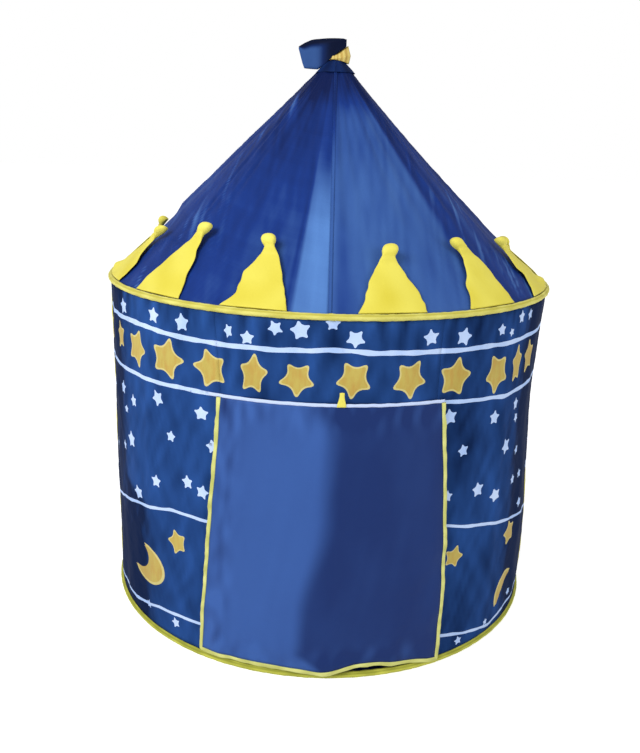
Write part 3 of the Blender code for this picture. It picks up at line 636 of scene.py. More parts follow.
# %% Scatter the print round the back, which no picture shows
BACK_START, BACK_END, STAR_SPACING = 77.0, 178.0, 10.9
SKY_STARS, SKY_APART = 20, 0.062
scatter = random.Random(12)
for sign in (1, -1):
    azimuth = BACK_START
    while azimuth < BACK_END:
        GOLD_STARS.append((sign * azimuth, 0.65, 41, scatter.uniform(-36, 36)))
        place = sign * (azimuth + scatter.uniform(-4, 4)), scatter.uniform(0.728, 0.748)
        WHITE_STARS.append((*place, 16, scatter.uniform(-36, 36)))
        azimuth += STAR_SPACING
    taken = []
    while len(taken) < SKY_STARS:
        place = (scatter.uniform(70.0, 174.0), scatter.uniform(0.34, 0.565))
        apart = all(hypot(arc(place[0] - a), place[1] - h) > SKY_APART for a, h in taken)
        if apart and abs(place[0] - SIDE_SEAM) > 4:
            taken.append(place)
            size = scatter.choice((15, 17, 20))
            WHITE_STARS.append((sign * place[0], place[1], size, scatter.uniform(-36, 36)))
    for azimuth in (92.0, 137.0, 158.0):
        height = 0.215 + 0.02 * scatter.random()
        GOLD_STARS.append((sign * azimuth, height, 27, scatter.uniform(-36, 36)))
print("stars:", len(WHITE_STARS), "white and", len(GOLD_STARS), "gold")


# %% The inks and the print on one stretch of wall
WHITE_SCALE, GOLD_SCALE = 1.06, 1.1
INKS = {"white": WHITE_INK, "edge": GOLD_EDGE, "gold": GOLD_INK}
GRID_STEP = 0.009


def printed_shapes(start, end):
    """(ink, outline) of every print that may touch this stretch of wall."""
    shapes = []
    for azimuth, height, size, turn, *wide in WHITE_STARS:
        radius = size / 1000 * WHITE_SCALE
        shapes.append(("white", star_outline(arc(azimuth), height, radius, turn, 0.5, 1, *wide)))
    for azimuth, height, size, turn, *wide in GOLD_STARS:
        for ink, share in (("edge", 1.0), ("gold", 0.86)):
            radius = size / 1000 * GOLD_SCALE * share
            shapes.append((ink, star_outline(arc(azimuth), height, radius, turn, 0.52, 2, *wide)))
    for azimuth, height, size, turn, *cut in MOONS:
        for ink, share in (("edge", 1.0), ("gold", 0.88)):
            shapes.append((ink, moon_outline(arc(azimuth), height, size / 1000 * share, turn, *cut)))
    for number, (width, *_) in enumerate(LINES):
        if number == DOOR_LINE and start > -DOORWAY - 1 and end < DOORWAY + 1:
            continue
        steps = max(2, round((end - start) / 1.2))
        turns = [blend(start, end, k / steps) for k in range(steps + 1)]
        half = [width / 2 * (1 + 0.22 * ripple(arc(t) / 0.03, number, 22)) for t in turns]
        under = [(arc(t), line_height(number, t) - h) for t, h in zip(turns, half)]
        over = [(arc(t), line_height(number, t) + h) for t, h in zip(turns, half)]
        shapes.append(("white", under + over[::-1]))
    return shapes


# %% Cutting the wall along the print
def clip(outline, axis, limit, sign):
    """The part of an outline on one side of a straight cut."""
    kept = []
    for a, b in zip(outline, outline[1:] + outline[:1]):
        inside = (a[axis] - limit) * sign >= 0
        if inside:
            kept.append(a)
        if inside != ((b[axis] - limit) * sign >= 0):
            share = (limit - a[axis]) / (b[axis] - a[axis])
            kept.append(tuple(limit if k == axis else blend(a[k], b[k], share) for k in (0, 1)))
    return kept


def printed_wall(name, start, end, low, high):
    left, right = arc(start), arc(end)
    columns, rows = round((right - left) / GRID_STEP), round((high - low) / GRID_STEP)
    points = [
        Vector((blend(left, right, c / columns), blend(low, high, r / rows)))
        for r in range(rows + 1) for c in range(columns + 1)
    ]
    polygons, inks = [], []
    for ink, outline in printed_shapes(start, end):
        for axis, limit, sign in ((0, left, 1), (0, right, -1), (1, low, 1), (1, high, -1)):
            outline = clip(outline, axis, limit, sign) if outline else outline
        if len(outline) >= 3:
            polygons.append(range(len(points), len(points) + len(outline)))
            points += [Vector(p) for p in outline]
            inks.append(1 + list(INKS).index(ink))
    flat, _, faces, _, _, origins = delaunay_2d_cdt(points, [], polygons, 0, 1e-6, True)
    indices = [max([inks[k] for k in kinds], default=0) for kinds in origins]
    turns = [(degrees(p.x / RING_RADIUS), p.y) for p in flat]
    item = build(
        name, [wall_point(a, h) for a, h in turns], [tuple(f) for f in faces],
        [(p.x, p.y) for p in flat], [wall_tone(a, h) for a, h in turns],
        [WALL_NAVY, *INKS.values(), BLUE_REVERSE], indices,
    )
    print(name, len(flat), "points", len(faces), "faces")
    return thicken(item, CLOTH)


# %% [markdown]
# ## Walls
# The cover's wall is five pieces: one each side of the doorway, two round the back and the
# strip over the door. They meet edge to edge at the seams, as the cut cloth does.

# %% Make the walls
BUTT = degrees(GAP / RING_RADIUS) / 2
PIPING_SPACE = 0.003
BESIDE_PIPING = degrees((PIPING_SPACE + GAP) / RING_RADIUS)
WALLS = {
    "wall_front_right": (DOORWAY + BUTT, SIDE_SEAM - BESIDE_PIPING, WALL_LOW),
    "wall_front_left": (-SIDE_SEAM + BESIDE_PIPING, -DOORWAY - BUTT, WALL_LOW),
    "wall_back_right": (SIDE_SEAM + BESIDE_PIPING, BACK_SEAM - BUTT, WALL_LOW),
    "wall_back_left": (-BACK_SEAM + BUTT, -SIDE_SEAM - BESIDE_PIPING, WALL_LOW),
    "wall_lintel": (-DOORWAY + BUTT, DOORWAY - BUTT, DOORWAY_TOP),
}
walls = {}
for name, (start, end, low) in WALLS.items():
    cloth = printed_wall(f"cloth_{name}", start, end, low, WALL_HIGH)
    walls[name] = settle(cloth, "tent", name, "printed_cloth")

# %% [markdown]
# ## Roof
# Four gores meet at the front, the sides and the back. Each is stretched over one pole, so
# it has a soft ridge there, and hangs slack by its seams. The slack cloth falls into long
# folds that run from the peak to the eaves, and lies close under the crown.


# %% Roof folds
def roof_radius(along):
    """The plain cone's radius this far up its slope."""
    return RING_RADIUS - along * cos(ROOF_ANGLE)


def roof_fold(azimuth, along):
    share = along / ROOF_LENGTH
    radius = RING_RADIUS * (1 - share)
    across = arc(azimuth)
    loose = away_from_pole(azimuth)
    fan = 0.0045 * ripple(across / 0.105, share / 1.6, 31) * loose
    fan += 0.0022 * ripple(across / 0.04, share / 0.9, 32) * (0.3 + 0.7 * loose)
    fine = 0.0007 * ripple(across * (1 - share) / 0.012, along / 0.05, 33)
    ridge = 0.0016 * ripple(across / 0.016, along / 0.16, 34) * (1 - loose) ** 2
    hem = 0.0014 * ripple(across / 0.022, along / 0.4, 35) * exp(-along / 0.05)
    taper = min(1.0, radius / 0.2)
    fold = (fan * taper + fine + ridge + hem) * ease((along - 0.006) / 0.02) * ease(radius / 0.05)
    under_crown = ease((0.235 - along) / 0.05)
    return blend(fold, -abs(fold) * 0.7 - 0.0002, under_crown)


def roof_point(azimuth, along, offset=0.0, folded=True):
    sag = ROOF_SAG + (0.007 * bump(azimuth, 90.0, 30.0) if folded else 0.0)
    sunk = sag * sin(pi * along / ROOF_LENGTH) * away_from_pole(azimuth)
    lift = offset - sunk + (roof_fold(azimuth, along) if folded else 0.0)
    radius = roof_radius(along) + lift * sin(ROOF_ANGLE)
    height = EAVE_HEIGHT + along * sin(ROOF_ANGLE) + lift * cos(ROOF_ANGLE)
    return polar(radius, azimuth, height)


def roof_tone(azimuth, along):
    """Satin bands: a pale wedge left of the front seam, and streaks along the ridges."""
    share, across = along / ROOF_LENGTH, arc(azimuth)
    front = 1.0 if abs(azimuth) <= 90.0 else 0.6
    turn = azimuth if abs(azimuth) <= 90.0 else copysign(abs(azimuth) - 180.0, -azimuth)
    tone = 0.27 + 0.05 * ripple(across / 0.12, share / 0.8, 41)
    tone += 0.06 * ripple(across / 0.035, share / 0.5, 42)
    tone += 0.05 * ripple(across * (1 - share) / 0.012, along / 0.1, 43)
    right = ease((turn - 0.3) / 0.6) * ease((41.0 - turn) / 5.0)
    right *= 1 - 0.7 * ease((share - 0.7) / 0.2)
    seam_shade = 1 - 0.55 * bump(turn, 3.4, 2.2) * ease((0.45 - share) / 0.15)
    tone += front * 0.27 * right * seam_shade
    wedge = ease((turn + 9.0) / 1.6) * ease((0.2 - turn) / 0.4)
    tone += front * wedge * blend(0.1, 0.62, ease((0.6 - share) / 0.35))
    tone += front * 0.16 * ease((turn + 17.0) / 3.0) * ease((-9.0 - turn) / 1.5) * ease((0.5 - share) / 0.3)
    streak = max(0.0, ripple(across * (1 - share) / 0.01, along / 0.13, 44) - 0.45)
    tone += 0.8 * streak * bump(abs(turn), 56.0, 14.0)
    return tone - 0.1 * ease((share - 0.4) / 0.25) - 0.25 * ease((share - 0.7) / 0.22)


ROOF_LOW = BINDING_RADIUS + GAP
ROOF_HIGH = (RING_RADIUS - 0.02) / cos(ROOF_ANGLE)
PLACES = ("front_right", "back_right", "back_left", "front_left")
gores = {}
for number, place in enumerate(PLACES):
    start = number * 90.0

    def across_gore(s, t):
        along = blend(ROOF_LOW, ROOF_HIGH, t)
        butt = degrees(GAP / 2 / roof_radius(along))
        return wrapped(blend(start + butt, start + 90.0 - butt, s)), along

    def flat(s, t):
        turn, along = across_gore(s, t)
        return radians(turn - start) * roof_radius(along), along

    gore = sheet(
        f"cloth_roof_{place}", 96, 90, lambda s, t: roof_point(*across_gore(s, t)), flat,
        lambda s, t: roof_tone(*across_gore(s, t)), [ROOF_BLUE, BLUE_REVERSE],
    )
    gores[place] = settle(gore, "tent", f"roof_panel_{place}", "blue_cloth")
print("roof gores:", len(gores))

# %% [markdown]
# ## Seam strips
# Each seam between two gores is folded flat and sewn down with two rows of stitches. The
# folded strip is three cloths thick, so it stands a little proud and catches the light.


# %% Make the seam strips
STRIP_HALF = 0.0035


def seam_strip(azimuth):
    def place(s, t):
        along = blend(ROOF_LOW + 0.002, ROOF_HIGH - 0.02, t)
        turn = azimuth + degrees(STRIP_HALF * (2 * s - 1) / roof_radius(along))
        return roof_point(wrapped(turn), along, 0.0008 + 0.0003 * sin(pi * s))

    label = f"roof_{azimuth % 360:03.0f}"
    strip = sheet(
        f"seam_{label}", 4, 110, place, lambda s, t: (s * 2 * STRIP_HALF, t * 0.7),
        lambda s, t: blend(0.55, 0.1, ease((t - 0.5) / 0.4)), [ROOF_BLUE],
    )
    out = polar(sin(ROOF_ANGLE), azimuth, cos(ROOF_ANGLE))
    rows = []
    for side in (0.16, 0.84):
        path = [(place(side, k / 120) + out * 0.0005, out) for k in range(119)]
        rows.append(stitches(f"thread_{label}_{side:.2f}", path, ROOF_BLUE, "tent"))
    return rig.ride(strip, "tent"), rows


seams = [seam_strip(azimuth) for azimuth in (0.0, 90.0, 180.0, -90.0)]
print("seam strips:", len(seams))

# %% [markdown]
# ## Peak cap
# A round of cloth with a hole for the finial covers the place where the four gores end. It
# is sewn over them, so its edge is turned under and slightly puckered.


# %% Make the peak cap
CAP_HOLE, CAP_CROWN, CAP_RADIUS = 0.0062, 0.02, 0.045


def cap_height(radius):
    above = (SOLID_CLOTH + GAP) / cos(ROOF_ANGLE)
    return APEX_HEIGHT - radius * tan(ROOF_ANGLE) + above


def cap_place(s, t):
    radius = blend(CAP_HOLE, CAP_RADIUS, t)
    height = cap_height(max(radius, CAP_CROWN))
    if radius <= CAP_CROWN:
        risen = height + 0.004 + SOLID_CLOTH
        height = blend(risen, height, ease((radius - CAP_HOLE) / (CAP_CROWN - CAP_HOLE)))
    pucker = 0.0004 * sin(2 * pi * s * 23) * ease((t - 0.4) / 0.6)
    return polar(radius, 360.0 * s, height + abs(pucker) - 0.0008 * ease((t - 0.8) / 0.2))


cap = sheet(
    "cloth_peak_cap", 96, 14, cap_place, lambda s, t: (s * 0.28, t * 0.04),
    lambda s, t: 0.24 + 0.08 * sin(s * 40), [FLAG_BLUE],
)
settle(cap, "tent", "apex_cap", "blue_cloth")
print(f"peak cap {CAP_RADIUS * 2000:.0f} mm across")


# %% [markdown]
# ## Bindings round the hoops
# A yellow tape is folded round each hoop with the edges of the cloth inside it. It hugs
# the rod, so its section is nearly round, and it puckers a little where it was sewn to a
# curve. The slit faces inwards.


# %% Make the ring bindings
TAPE_SWEEP = 180.0 - degrees(GAP / RING_RADIUS)
TAPE_FOLD = 143.0  # degrees from the outside of the hoop to each edge of the tape


def ring_binding(name, node, height, start, seed, material):
    """Half a turn of folded tape round a hoop, and its two rows of stitches."""

    def place(s, t):
        turn = start + TAPE_SWEEP * s
        angle = radians(blend(TAPE_FOLD, -TAPE_FOLD, t))
        pucker = 0.00045 * ripple(arc(turn) / 0.012, angle / 1.3, seed)
        pucker += 0.0003 * ripple(arc(turn) / 0.005, angle / 0.6, seed + 1)
        flange = 0.0004 * bump(abs(angle), 1.25, 0.18) - 0.0011 * bump(angle, 0.72, 0.1)
        radius = BINDING_RADIUS - 0.0009 + pucker + flange
        high = max(GAP, height + radius * sin(angle))
        return polar(RING_RADIUS + radius * cos(angle), turn, high)

    def tone(s, t):
        cloud = 0.3 * ripple(arc(start + TAPE_SWEEP * s) / 0.03, t * 3, seed + 2)
        return 0.5 + cloud - 0.7 * bump(t, 0.355, 0.05)

    item = sheet(
        name, 540, 18, place, lambda s, t: (arc(start + TAPE_SWEEP * s), t * 0.034), tone,
        [material], 0.0008, -1.0,
    )
    settle(item, "tent", node, "yellow_tape")
    rows = []
    for side, angle in (("upper", 1.02), ("lower", -1.02)):
        path = []
        for k in range(361):
            turn = start + TAPE_SWEEP * k / 360
            out = polar(cos(angle), turn, sin(angle))
            path.append((polar(RING_RADIUS, turn, height) + out * (BINDING_RADIUS - 0.0007), out))
        rows.append(stitches(f"{name}_stitches_{side}", path, TAPE_PALE, "tent"))
    return item, rows


bindings = []
for level, height, material in (
    ("base", BASE_HEIGHT, TAPE_OLIVE), ("eave", EAVE_HEIGHT, TAPE_YELLOW),
):
    for place, start in (("front", -90.0 + BUTT), ("back", 90.0 + BUTT)):
        names = f"tape_{level}_{place}", f"{level}_binding_{place}"
        bindings.append(ring_binding(*names, height, start, 50 + 3 * len(bindings), material))
print("ring bindings:", len(bindings))


# %% [markdown]
# ## Side piping and doorway tapes
# The two side seams are covered by a thin roll of yellow cloth, and the doorway's edges
# are bound with flat tape, which shows when the door is lifted.


# %% Make piping and doorway tapes
PIPING_RADIUS, TAPE_HALF = 0.0029, 0.004


def edge_tone(seed):
    return lambda s, t: 0.4 + 0.3 * ripple(t * 40, s, seed)


def piping(name, node, azimuth):
    out, side = polar(1.0, azimuth), polar(1.0, azimuth + 90.0)

    def place(s, t):
        height, angle = blend(WALL_LOW, WALL_HIGH, t), 2 * pi * s
        radius = PIPING_RADIUS * (1 + 0.07 * ripple(height / 0.012, s * 2, 71))
        around = out * cos(angle) + side * sin(angle)
        return wall_point(azimuth, height) + around * radius

    item = sheet(
        name, 14, 150, place, lambda s, t: (s * 0.018, t * 0.76), edge_tone(72), [TAPE_YELLOW],
        offset=-1.0,
    )
    return settle(item, "tent", node, "yellow_tape")


def doorway_tape(name, node, azimuth):
    half = degrees(TAPE_HALF / RING_RADIUS)

    def place(s, t):
        height = blend(WALL_LOW, DOORWAY_TOP - GAP, t)
        return wall_point(azimuth + half * (2 * s - 1), height)

    item = sheet(
        name, 6, 130, place, lambda s, t: (s * 0.008, t * 0.59), edge_tone(73), [TAPE_YELLOW],
        0.0016,
    )
    return settle(item, "tent", node, "yellow_tape")


DOOR_TAPE = DOORWAY - degrees((TAPE_HALF + GAP) / RING_RADIUS)
edge_tapes = {}
for side, sign in (("left", -1), ("right", 1)):
    edge_tapes[f"wall_front_{side}"] = [
        piping(f"tape_side_piping_{side}", f"side_piping_{side}", sign * SIDE_SEAM),
        doorway_tape(f"tape_doorway_{side}", f"doorway_binding_{side}", sign * DOOR_TAPE),
    ]
print("side piping and doorway tapes:", sum(map(len, edge_tapes.values())))

# %% [markdown]
# ## Door
# The door is a plain flap sewn along its top edge. It hangs a little proud of the wall,
# its hem lifts in one slow wave, and one long fold runs down it in a shallow S. Satin on
# the left of that fold faces the light and looks paler. A place on the door is its side,
# from -1 at the left edge to 1 at the right, and its share of the way down.

# %% Door shape
FLAP_TOP_AZIMUTH, FLAP_HEM_AZIMUTH = 25.9, 28.8
FLAP_HEM_RADIUS, FLAP_HEM_HEIGHT = 0.5235, 0.0236
FLAP_STANDOFF, FLAP_FOLD = 0.003, 0.006


def plain_wall_radius(azimuth, height):
    return RING_RADIUS - WAIST * sin(pi * height / EAVE_HEIGHT) * away_from_pole(azimuth)


def s_curve(share):
    """The side where the long fold crosses the flap."""
    middle = 0.045 - 0.04 * share - 0.15 * bump(share, 0.0, 0.05) + 0.16 * ease((share - 0.93) / 0.07)
    return middle - 0.175 * ease((share - 0.4) / 0.38)


def flap_fold(side, share):
    free = ease(share / 0.06) * (1 - 0.35 * abs(side) ** 3)
    ridge = 0.005 * bump(side, s_curve(share), 0.22) * ease(share / 0.25)
    edge = 0.0032 * ripple(side * 5.0 + share * 3, share * 9.0, 61) * bump(abs(side), 1.0, 0.22)
    top = 0.0016 * ripple(side * 9.0, share * 1.5, 62) * exp(-share / 0.09)
    hem = 0.0022 * ripple(side * 7.0, share * 1.2, 63) * exp(-(1 - share) / 0.1)
    long = 0.0016 * ripple(side * 2.4 + share * 0.8, share * 1.3, 64)
    fine = 0.0003 * ripple(side * 18, share * 32, 65)
    return free * (ridge + edge + top + hem + long + fine)


def flap_point(side, share, beside=0.0, below=0.0, outward=0.0):
    """A point on the flap, or this far beside, below or in front of it."""
    top = DOORWAY_TOP - GAP
    low = bump(side, 0.05, 0.12) + 1.6 * ease((side - 0.8) / 0.2)
    hem = FLAP_HEM_HEIGHT + 0.011 * bump(side, 0.38, 0.26) - 0.004 * low
    height = blend(top, hem, share) - below
    turn = side * blend(FLAP_TOP_AZIMUTH, FLAP_HEM_AZIMUTH, share) + degrees(beside / RING_RADIUS)
    turn += max(0.0, -side) * blend(2.3, 0.1, share)
    turn += max(0.0, side) * 1.1 * sin(pi * share)
    hung = plain_wall_radius(turn, DOORWAY_TOP) + FLAP_STANDOFF
    fold = FLAP_FOLD * share * sin(pi * share) * cos(pi * side) ** 2
    radius = blend(hung, FLAP_HEM_RADIUS + 0.004 * min(1.0, low), share)
    return polar(radius + fold + flap_fold(side, share) + outward, turn, height)


def flap_tone(side, share):
    left = ease(0.5 - (side - s_curve(share)) / blend(0.26, 0.13, share))
    tone = blend(0.03, 0.84, left)
    tone += 0.05 * ripple(side * 3, share * 3, 66) + 0.03 * ripple(side * 12 + share * 5, share * 3, 67)
    rim = bump(side, -0.9, 0.13) + 0.8 * bump(share, 0.02, 0.07) + 0.8 * bump(share, 0.97, 0.05)
    tone -= 0.17 * bump(side, -0.92, 0.12) * ease((0.85 - share) / 0.3)
    return tone + 0.36 * ripple(side * 12 + share * 2, share * 11, 68) * rim


flap = sheet(
    "cloth_door_flap", 76, 84, lambda s, t: flap_point(2 * s - 1, t),
    lambda s, t: ((2 * s - 1) * blend(0.235, 0.266, t), -t * 0.576),
    lambda s, t: flap_tone(2 * s - 1, t), [DOOR_BLUE, BLUE_REVERSE],
)
settle(flap, "door", "door_flap", "blue_cloth")
print("door flap:", len(flap.data.polygons), "faces")


# %% [markdown]
# ## Door binding, header and tie
# The flap's sides and hem are bound with a paler tape that has stretched into small
# scallops. A thin white tape covers the seam over the door, and a short yellow tab, which
# holds the rolled-up door, stands up from it.


# %% Make the door's tapes
STEPS_SIDE, STEPS_HEM = 90, 70
FLAP_TAPE, SEAM_INSET = 0.0075, 0.0028


def hem_path():
    """Points (side, share, sideways, downwards) down one side, along the hem and up again."""
    down = [(-1.0, k / STEPS_SIDE, -1.0, 0.0) for k in range(STEPS_SIDE)]
    corner = [(-1.0, 1.0, -cos(a), sin(a)) for a in (0.4, 0.785, 1.17)]
    across = [(blend(-1.0, 1.0, k / STEPS_HEM), 1.0, 0.0, 1.0) for k in range(1, STEPS_HEM)]
    mirrored = [(1.0, share, -x, y) for _, share, x, y in reversed(corner)]
    up = [(1.0, 1 - (k + 1) / STEPS_SIDE, 1.0, 0.0) for k in range(STEPS_SIDE)]
    return down + corner + across + mirrored + up


HEM = hem_path()


def rounded(value, power):
    """A sine or cosine made squarer, for a flattened loop."""
    return copysign(abs(value) ** power, value)


def binding_place(s, t):
    side, share, sideways, downwards = HEM[round(s * (len(HEM) - 1))]
    angle = pi * (t * 2 - 1)
    wobble = 0.0012 * ripple(s * 60, 0.3, 75) + 0.0008 * ripple(s * 150, 0.7, 76)
    half = (FLAP_TAPE + wobble) / 2
    reach = GAP + half - half * rounded(cos(angle), 0.6)
    thick = 0.00125 * rounded(sin(angle), 0.7)
    curl = 0.0008 * ripple(s * 80, 0.9, 77) * reach / FLAP_TAPE
    return flap_point(side, share, sideways * reach, downwards * reach, thick + curl)


binding = sheet(
    "tape_door_flap", len(HEM) - 1, 18, binding_place, lambda s, t: (s * 1.7, t * 0.024),
    lambda s, t: 0.5 + 0.35 * ripple(s * 90, t * 2, 78), [TAPE_PALE], offset=-1.0,
)
settle(binding, "door", "door_flap_binding", "yellow_tape")
path = [
    (flap_point(side, share, x * SEAM_INSET, y * SEAM_INSET, 0.0013), polar(1.0, side * 28.0))
    for side, share, x, y in HEM
]
door_stitches = stitches("thread_door_flap", path, TAPE_WHITE, "door")

HEADER_MID = SOLID_CLOTH / 2 + 0.0012 + 0.001
HEADER_HALF, HEADER_TALL = 26.6, 0.0065


def header_place(s, t):
    turn = blend(-HEADER_HALF, HEADER_HALF, s)
    height = DOORWAY_TOP + HEADER_TALL * t + 0.0006 * ripple(s * 30, t, 81)
    crown = 0.0004 * sin(pi * t)
    return polar(plain_wall_radius(turn, height) + HEADER_MID + crown, turn, height)


header = sheet(
    "tape_door_header", 110, 4, header_place, lambda s, t: (s * 0.48, t * HEADER_TALL),
    lambda s, t: 0.6, [TAPE_WHITE], 0.0016,
)
settle(header, "tent", "door_header_tape", "white_tape")
TIE_MID = HEADER_MID + 0.001 + GAP + SOLID_CLOTH / 2
TIE_AZIMUTH, TIE_FOOT, TIE_END, TIE_TALL = 3.1, 0.0175, 0.009, 0.031


def tie_place(s, t):
    side = 2 * s - 1
    half = blend(TIE_FOOT, TIE_END, ease(t * 1.2)) / 2
    turn = TIE_AZIMUTH + degrees(half * side / RING_RADIUS)
    height = DOORWAY_TOP + GAP + TIE_TALL * t - 0.001 * abs(side) * t
    out = TIE_MID + 0.004 * t + 0.0012 * (1 - side**2) * t
    return polar(plain_wall_radius(turn, height) + out, turn, height)


tie = sheet(
    "cloth_door_tie", 8, 14, tie_place, lambda s, t: (s * 0.017, t * TIE_TALL), lambda s, t: 0.8,
    [CROWN_YELLOW], 0.001,
)
settle(tie, "tent", "door_tie_tab", "yellow_cloth")
print("door pieces:", [piece.name for piece in (flap, binding, door_stitches, header, tie)])


# %% [markdown]
# ## Crown
# Thirteen padded points stand round the eaves. Each is two layers of yellow cloth, sewn at
# the edge and turned, with thin wadding in the body and a stuffed round tip on a narrow
# neck. No two were cut alike: the edges wander, and the tips lean off the roof.

# %% Crown sizes
SPIKES = 13
SPIKE_FIRST = 12.1
SPIKE_BASE, SPIKE_NECK, SPIKE_THICK, SPIKE_TIP_THICK = 0.14, 0.014, 0.004, 0.02
SPIKE_INNER = SOLID_CLOTH / 2 + 0.0004
SPIKE_FOOT = sqrt(BINDING_RADIUS**2 - SPIKE_INNER**2) + 0.0008
BODY_ROWS, TIP_ROWS, SECTION = 44, 18, 28
TIP_START, TIP_END, JOIN_END = radians(-58.0), radians(88.0), radians(-8.0)
# number: turn in degrees, then in millimetres the height, how far the body and the tip
# lean sideways, how far the tip leans off the roof, the tip's radius, and how far the left
# and right edges bulge at the base, at each fifth of the way up and at the neck
SPIKE_CUTS = {
    1: (1.5, 153, 12, 3, 12, 16.0, (0, -1, 3, 7, 8, 9), (-4, 5, 10, 8, 8, 5)),
    2: (0.0, 163, -4, -15, 12, 13.5, (0, -4, 1, -7, -5, -1), (-4, 0, 7, 15, 15, 12)),
    3: (-1.3, 152, -30, -15, 11, 12.5, (4, -11, -18, 0, -2, 3), (8, 18, 22, 18, 9, 3)),
    4: (0.0, 122, 26, 2, 3, 14.0, (0, 0), (0, 0)),
    10: (0.0, 158, 16, 4, 5, 14.0, (0, 3, 1, -2, 1, 0), (0, 2, 4, 3, -1, 0)),
    11: (0.5, 154, 50, 26, 11, 13.0, (10, 14, 10, 7, 6, 3), (2, 15, 20, 7, 1, 0)),
    12: (0.3, 180, 22, 7, 12, 14.0, (1, 5, 7, 6, 6, 6), (2, 3, 1, 5, 0, 1)),
    13: (-1.0, 169, 0, -5, 12, 14.6, (-3, -15, -5, 5, 2, -1), (-1, 2, 4, 6, 6, 6)),
}
# a lower corner that has curled up off the roof: number and side
ROLLED_CORNERS = {3: 1, 11: -1}


# %% Rows of a crown point
def along_edge(bulges, share):
    """An edge's bulge in metres at this share of the way up."""
    place = min(share, 0.9999) * (len(bulges) - 1)
    k = int(place)
    return blend(bulges[k], bulges[k + 1], ease(place - k)) / 1000


def body_row(number, tall, tip, bulges, share):
    """(height, left half, right half, half thickness) of one row below the tip."""
    half = blend(SPIKE_BASE, SPIKE_NECK, share) / 2
    edges = [
        half + along_edge(bulge, share)
        + 0.001 * ripple(share * 9.0, number * 5.1 + side, 92) * ease(share / 0.1)
        for side, bulge in enumerate(bulges)
    ]
    swell = sin(pi * min(1.0, 0.25 + share * 0.75))
    thick = SPIKE_THICK / 2 * (0.8 + 0.45 * swell) + 0.0045 * ease((share - 0.88) / 0.12)
    return (tall - tip + tip * sin(TIP_START)) * share, *edges, thick


def tip_row(tall, tip, bulges, angle):
    """The same for one row of the round tip."""
    round_half = tip * cos(angle)
    joined = ease((JOIN_END - angle) / radians(50.0))
    necks = [SPIKE_NECK / 2 + bulge[-1] / 1000 for bulge in bulges]
    halves = [max(round_half, blend(round_half, neck, joined)) for neck in necks]
    thick = max(0.0009, SPIKE_TIP_THICK / 2 * cos(angle) ** 0.8)
    return tall - tip + tip * sin(angle), *halves, thick


# %% Sew and fill each point
def spike_cut(number):
    """The cut of one point: as seen on the front ones, and at random on the others."""
    if number in SPIKE_CUTS:
        return SPIKE_CUTS[number]
    chance = random.Random(number)
    edges = [(0, *(chance.uniform(-6, 7) for _ in range(4)), 0) for _ in range(2)]
    leans = chance.uniform(152, 172), chance.uniform(-14, 14), chance.uniform(-8, 8)
    return 0.0, *leans, 12, 14.5, *edges


def spike(number):
    shift, *lengths = spike_cut(number)
    tall, sway, nod, lean_off, tip = (value / 1000 for value in lengths[:5])
    bulges = lengths[5:]
    azimuth = wrapped(SPIKE_FIRST + 360.0 / SPIKES * (number - 1)) + shift
    rows = [body_row(number, tall, tip, bulges, k / BODY_ROWS) for k in range(BODY_ROWS)]
    tip_turns = [blend(TIP_START, TIP_END, k / TIP_ROWS) for k in range(TIP_ROWS + 1)]
    rows += [tip_row(tall, tip, bulges, turn) for turn in tip_turns]
    points, flats, tones, faces = [], [], [], []
    for height, left, right, thick in rows:
        share, along = height / tall, SPIKE_FOOT + height
        lean = lean_off * share**2 * (1 + 0.2 * ripple(number * 2.3, 0.2, 94))
        middle = sway * share**1.6 + nod * ease((share - 0.7) / 0.25)
        paler = 0.35 * ease((share - 0.8) / 0.1)
        for k in range(SECTION):
            angle = 2 * pi * k / SECTION
            c, s = cos(angle), sin(angle)
            across = (right if c > 0 else left) * c + middle
            place = across / 0.022 + number, height / 0.03
            crumple = 0.0008 * ripple(*place, 95) * abs(s) * ease(share / 0.08)
            curl = 0.002 * c * c * ripple(share * 3.0, number * 2.9 + (c > 0), 96) ** 2
            rolled = ease((c * ROLLED_CORNERS.get(number, 0) - 0.45) / 0.35)
            rolled *= bump(height, 0.019, 0.014)
            pillow = thick * rounded(s, 0.75) * (1 + 2.0 * rolled)
            offset = SPIKE_INNER + lean + thick + pillow + crumple + 0.005 * rolled
            offset += curl * ease(share / 0.15)
            turn = azimuth + degrees(across / roof_radius(along))
            points.append(roof_point(turn, along, offset, False))
            flats.append((across, height))
            cloud = 0.3 * ripple(across / 0.05 + number, height / 0.07, 97)
            tones.append(0.45 + cloud + paler)
    for r in range(len(rows) - 1):
        for k in range(SECTION):
            a, b = r * SECTION + k, r * SECTION + (k + 1) % SECTION
            faces.append((a, b, b + SECTION, a + SECTION))
    faces.append(tuple(reversed(range(SECTION))))
    faces.append(tuple(range((len(rows) - 1) * SECTION, len(rows) * SECTION)))
    item = build(f"padded_crown_{number:02d}", points, faces, flats, tones, [CROWN_YELLOW])
    settle(item, f"spike_{number:02d}", f"crown_spike_{number:02d}", "yellow_cloth")
    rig.padded(item, fill=0.45)
    return item


crown = [spike(number) for number in range(1, SPIKES + 1)]
print("crown points:", len(crown))


# %% [markdown]
# ## Flag and collar
# A short strip of blue cloth is folded over the black finial and cut to a slant. Below it
# a yellow collar is gathered round the finial's neck and flares over the peak.

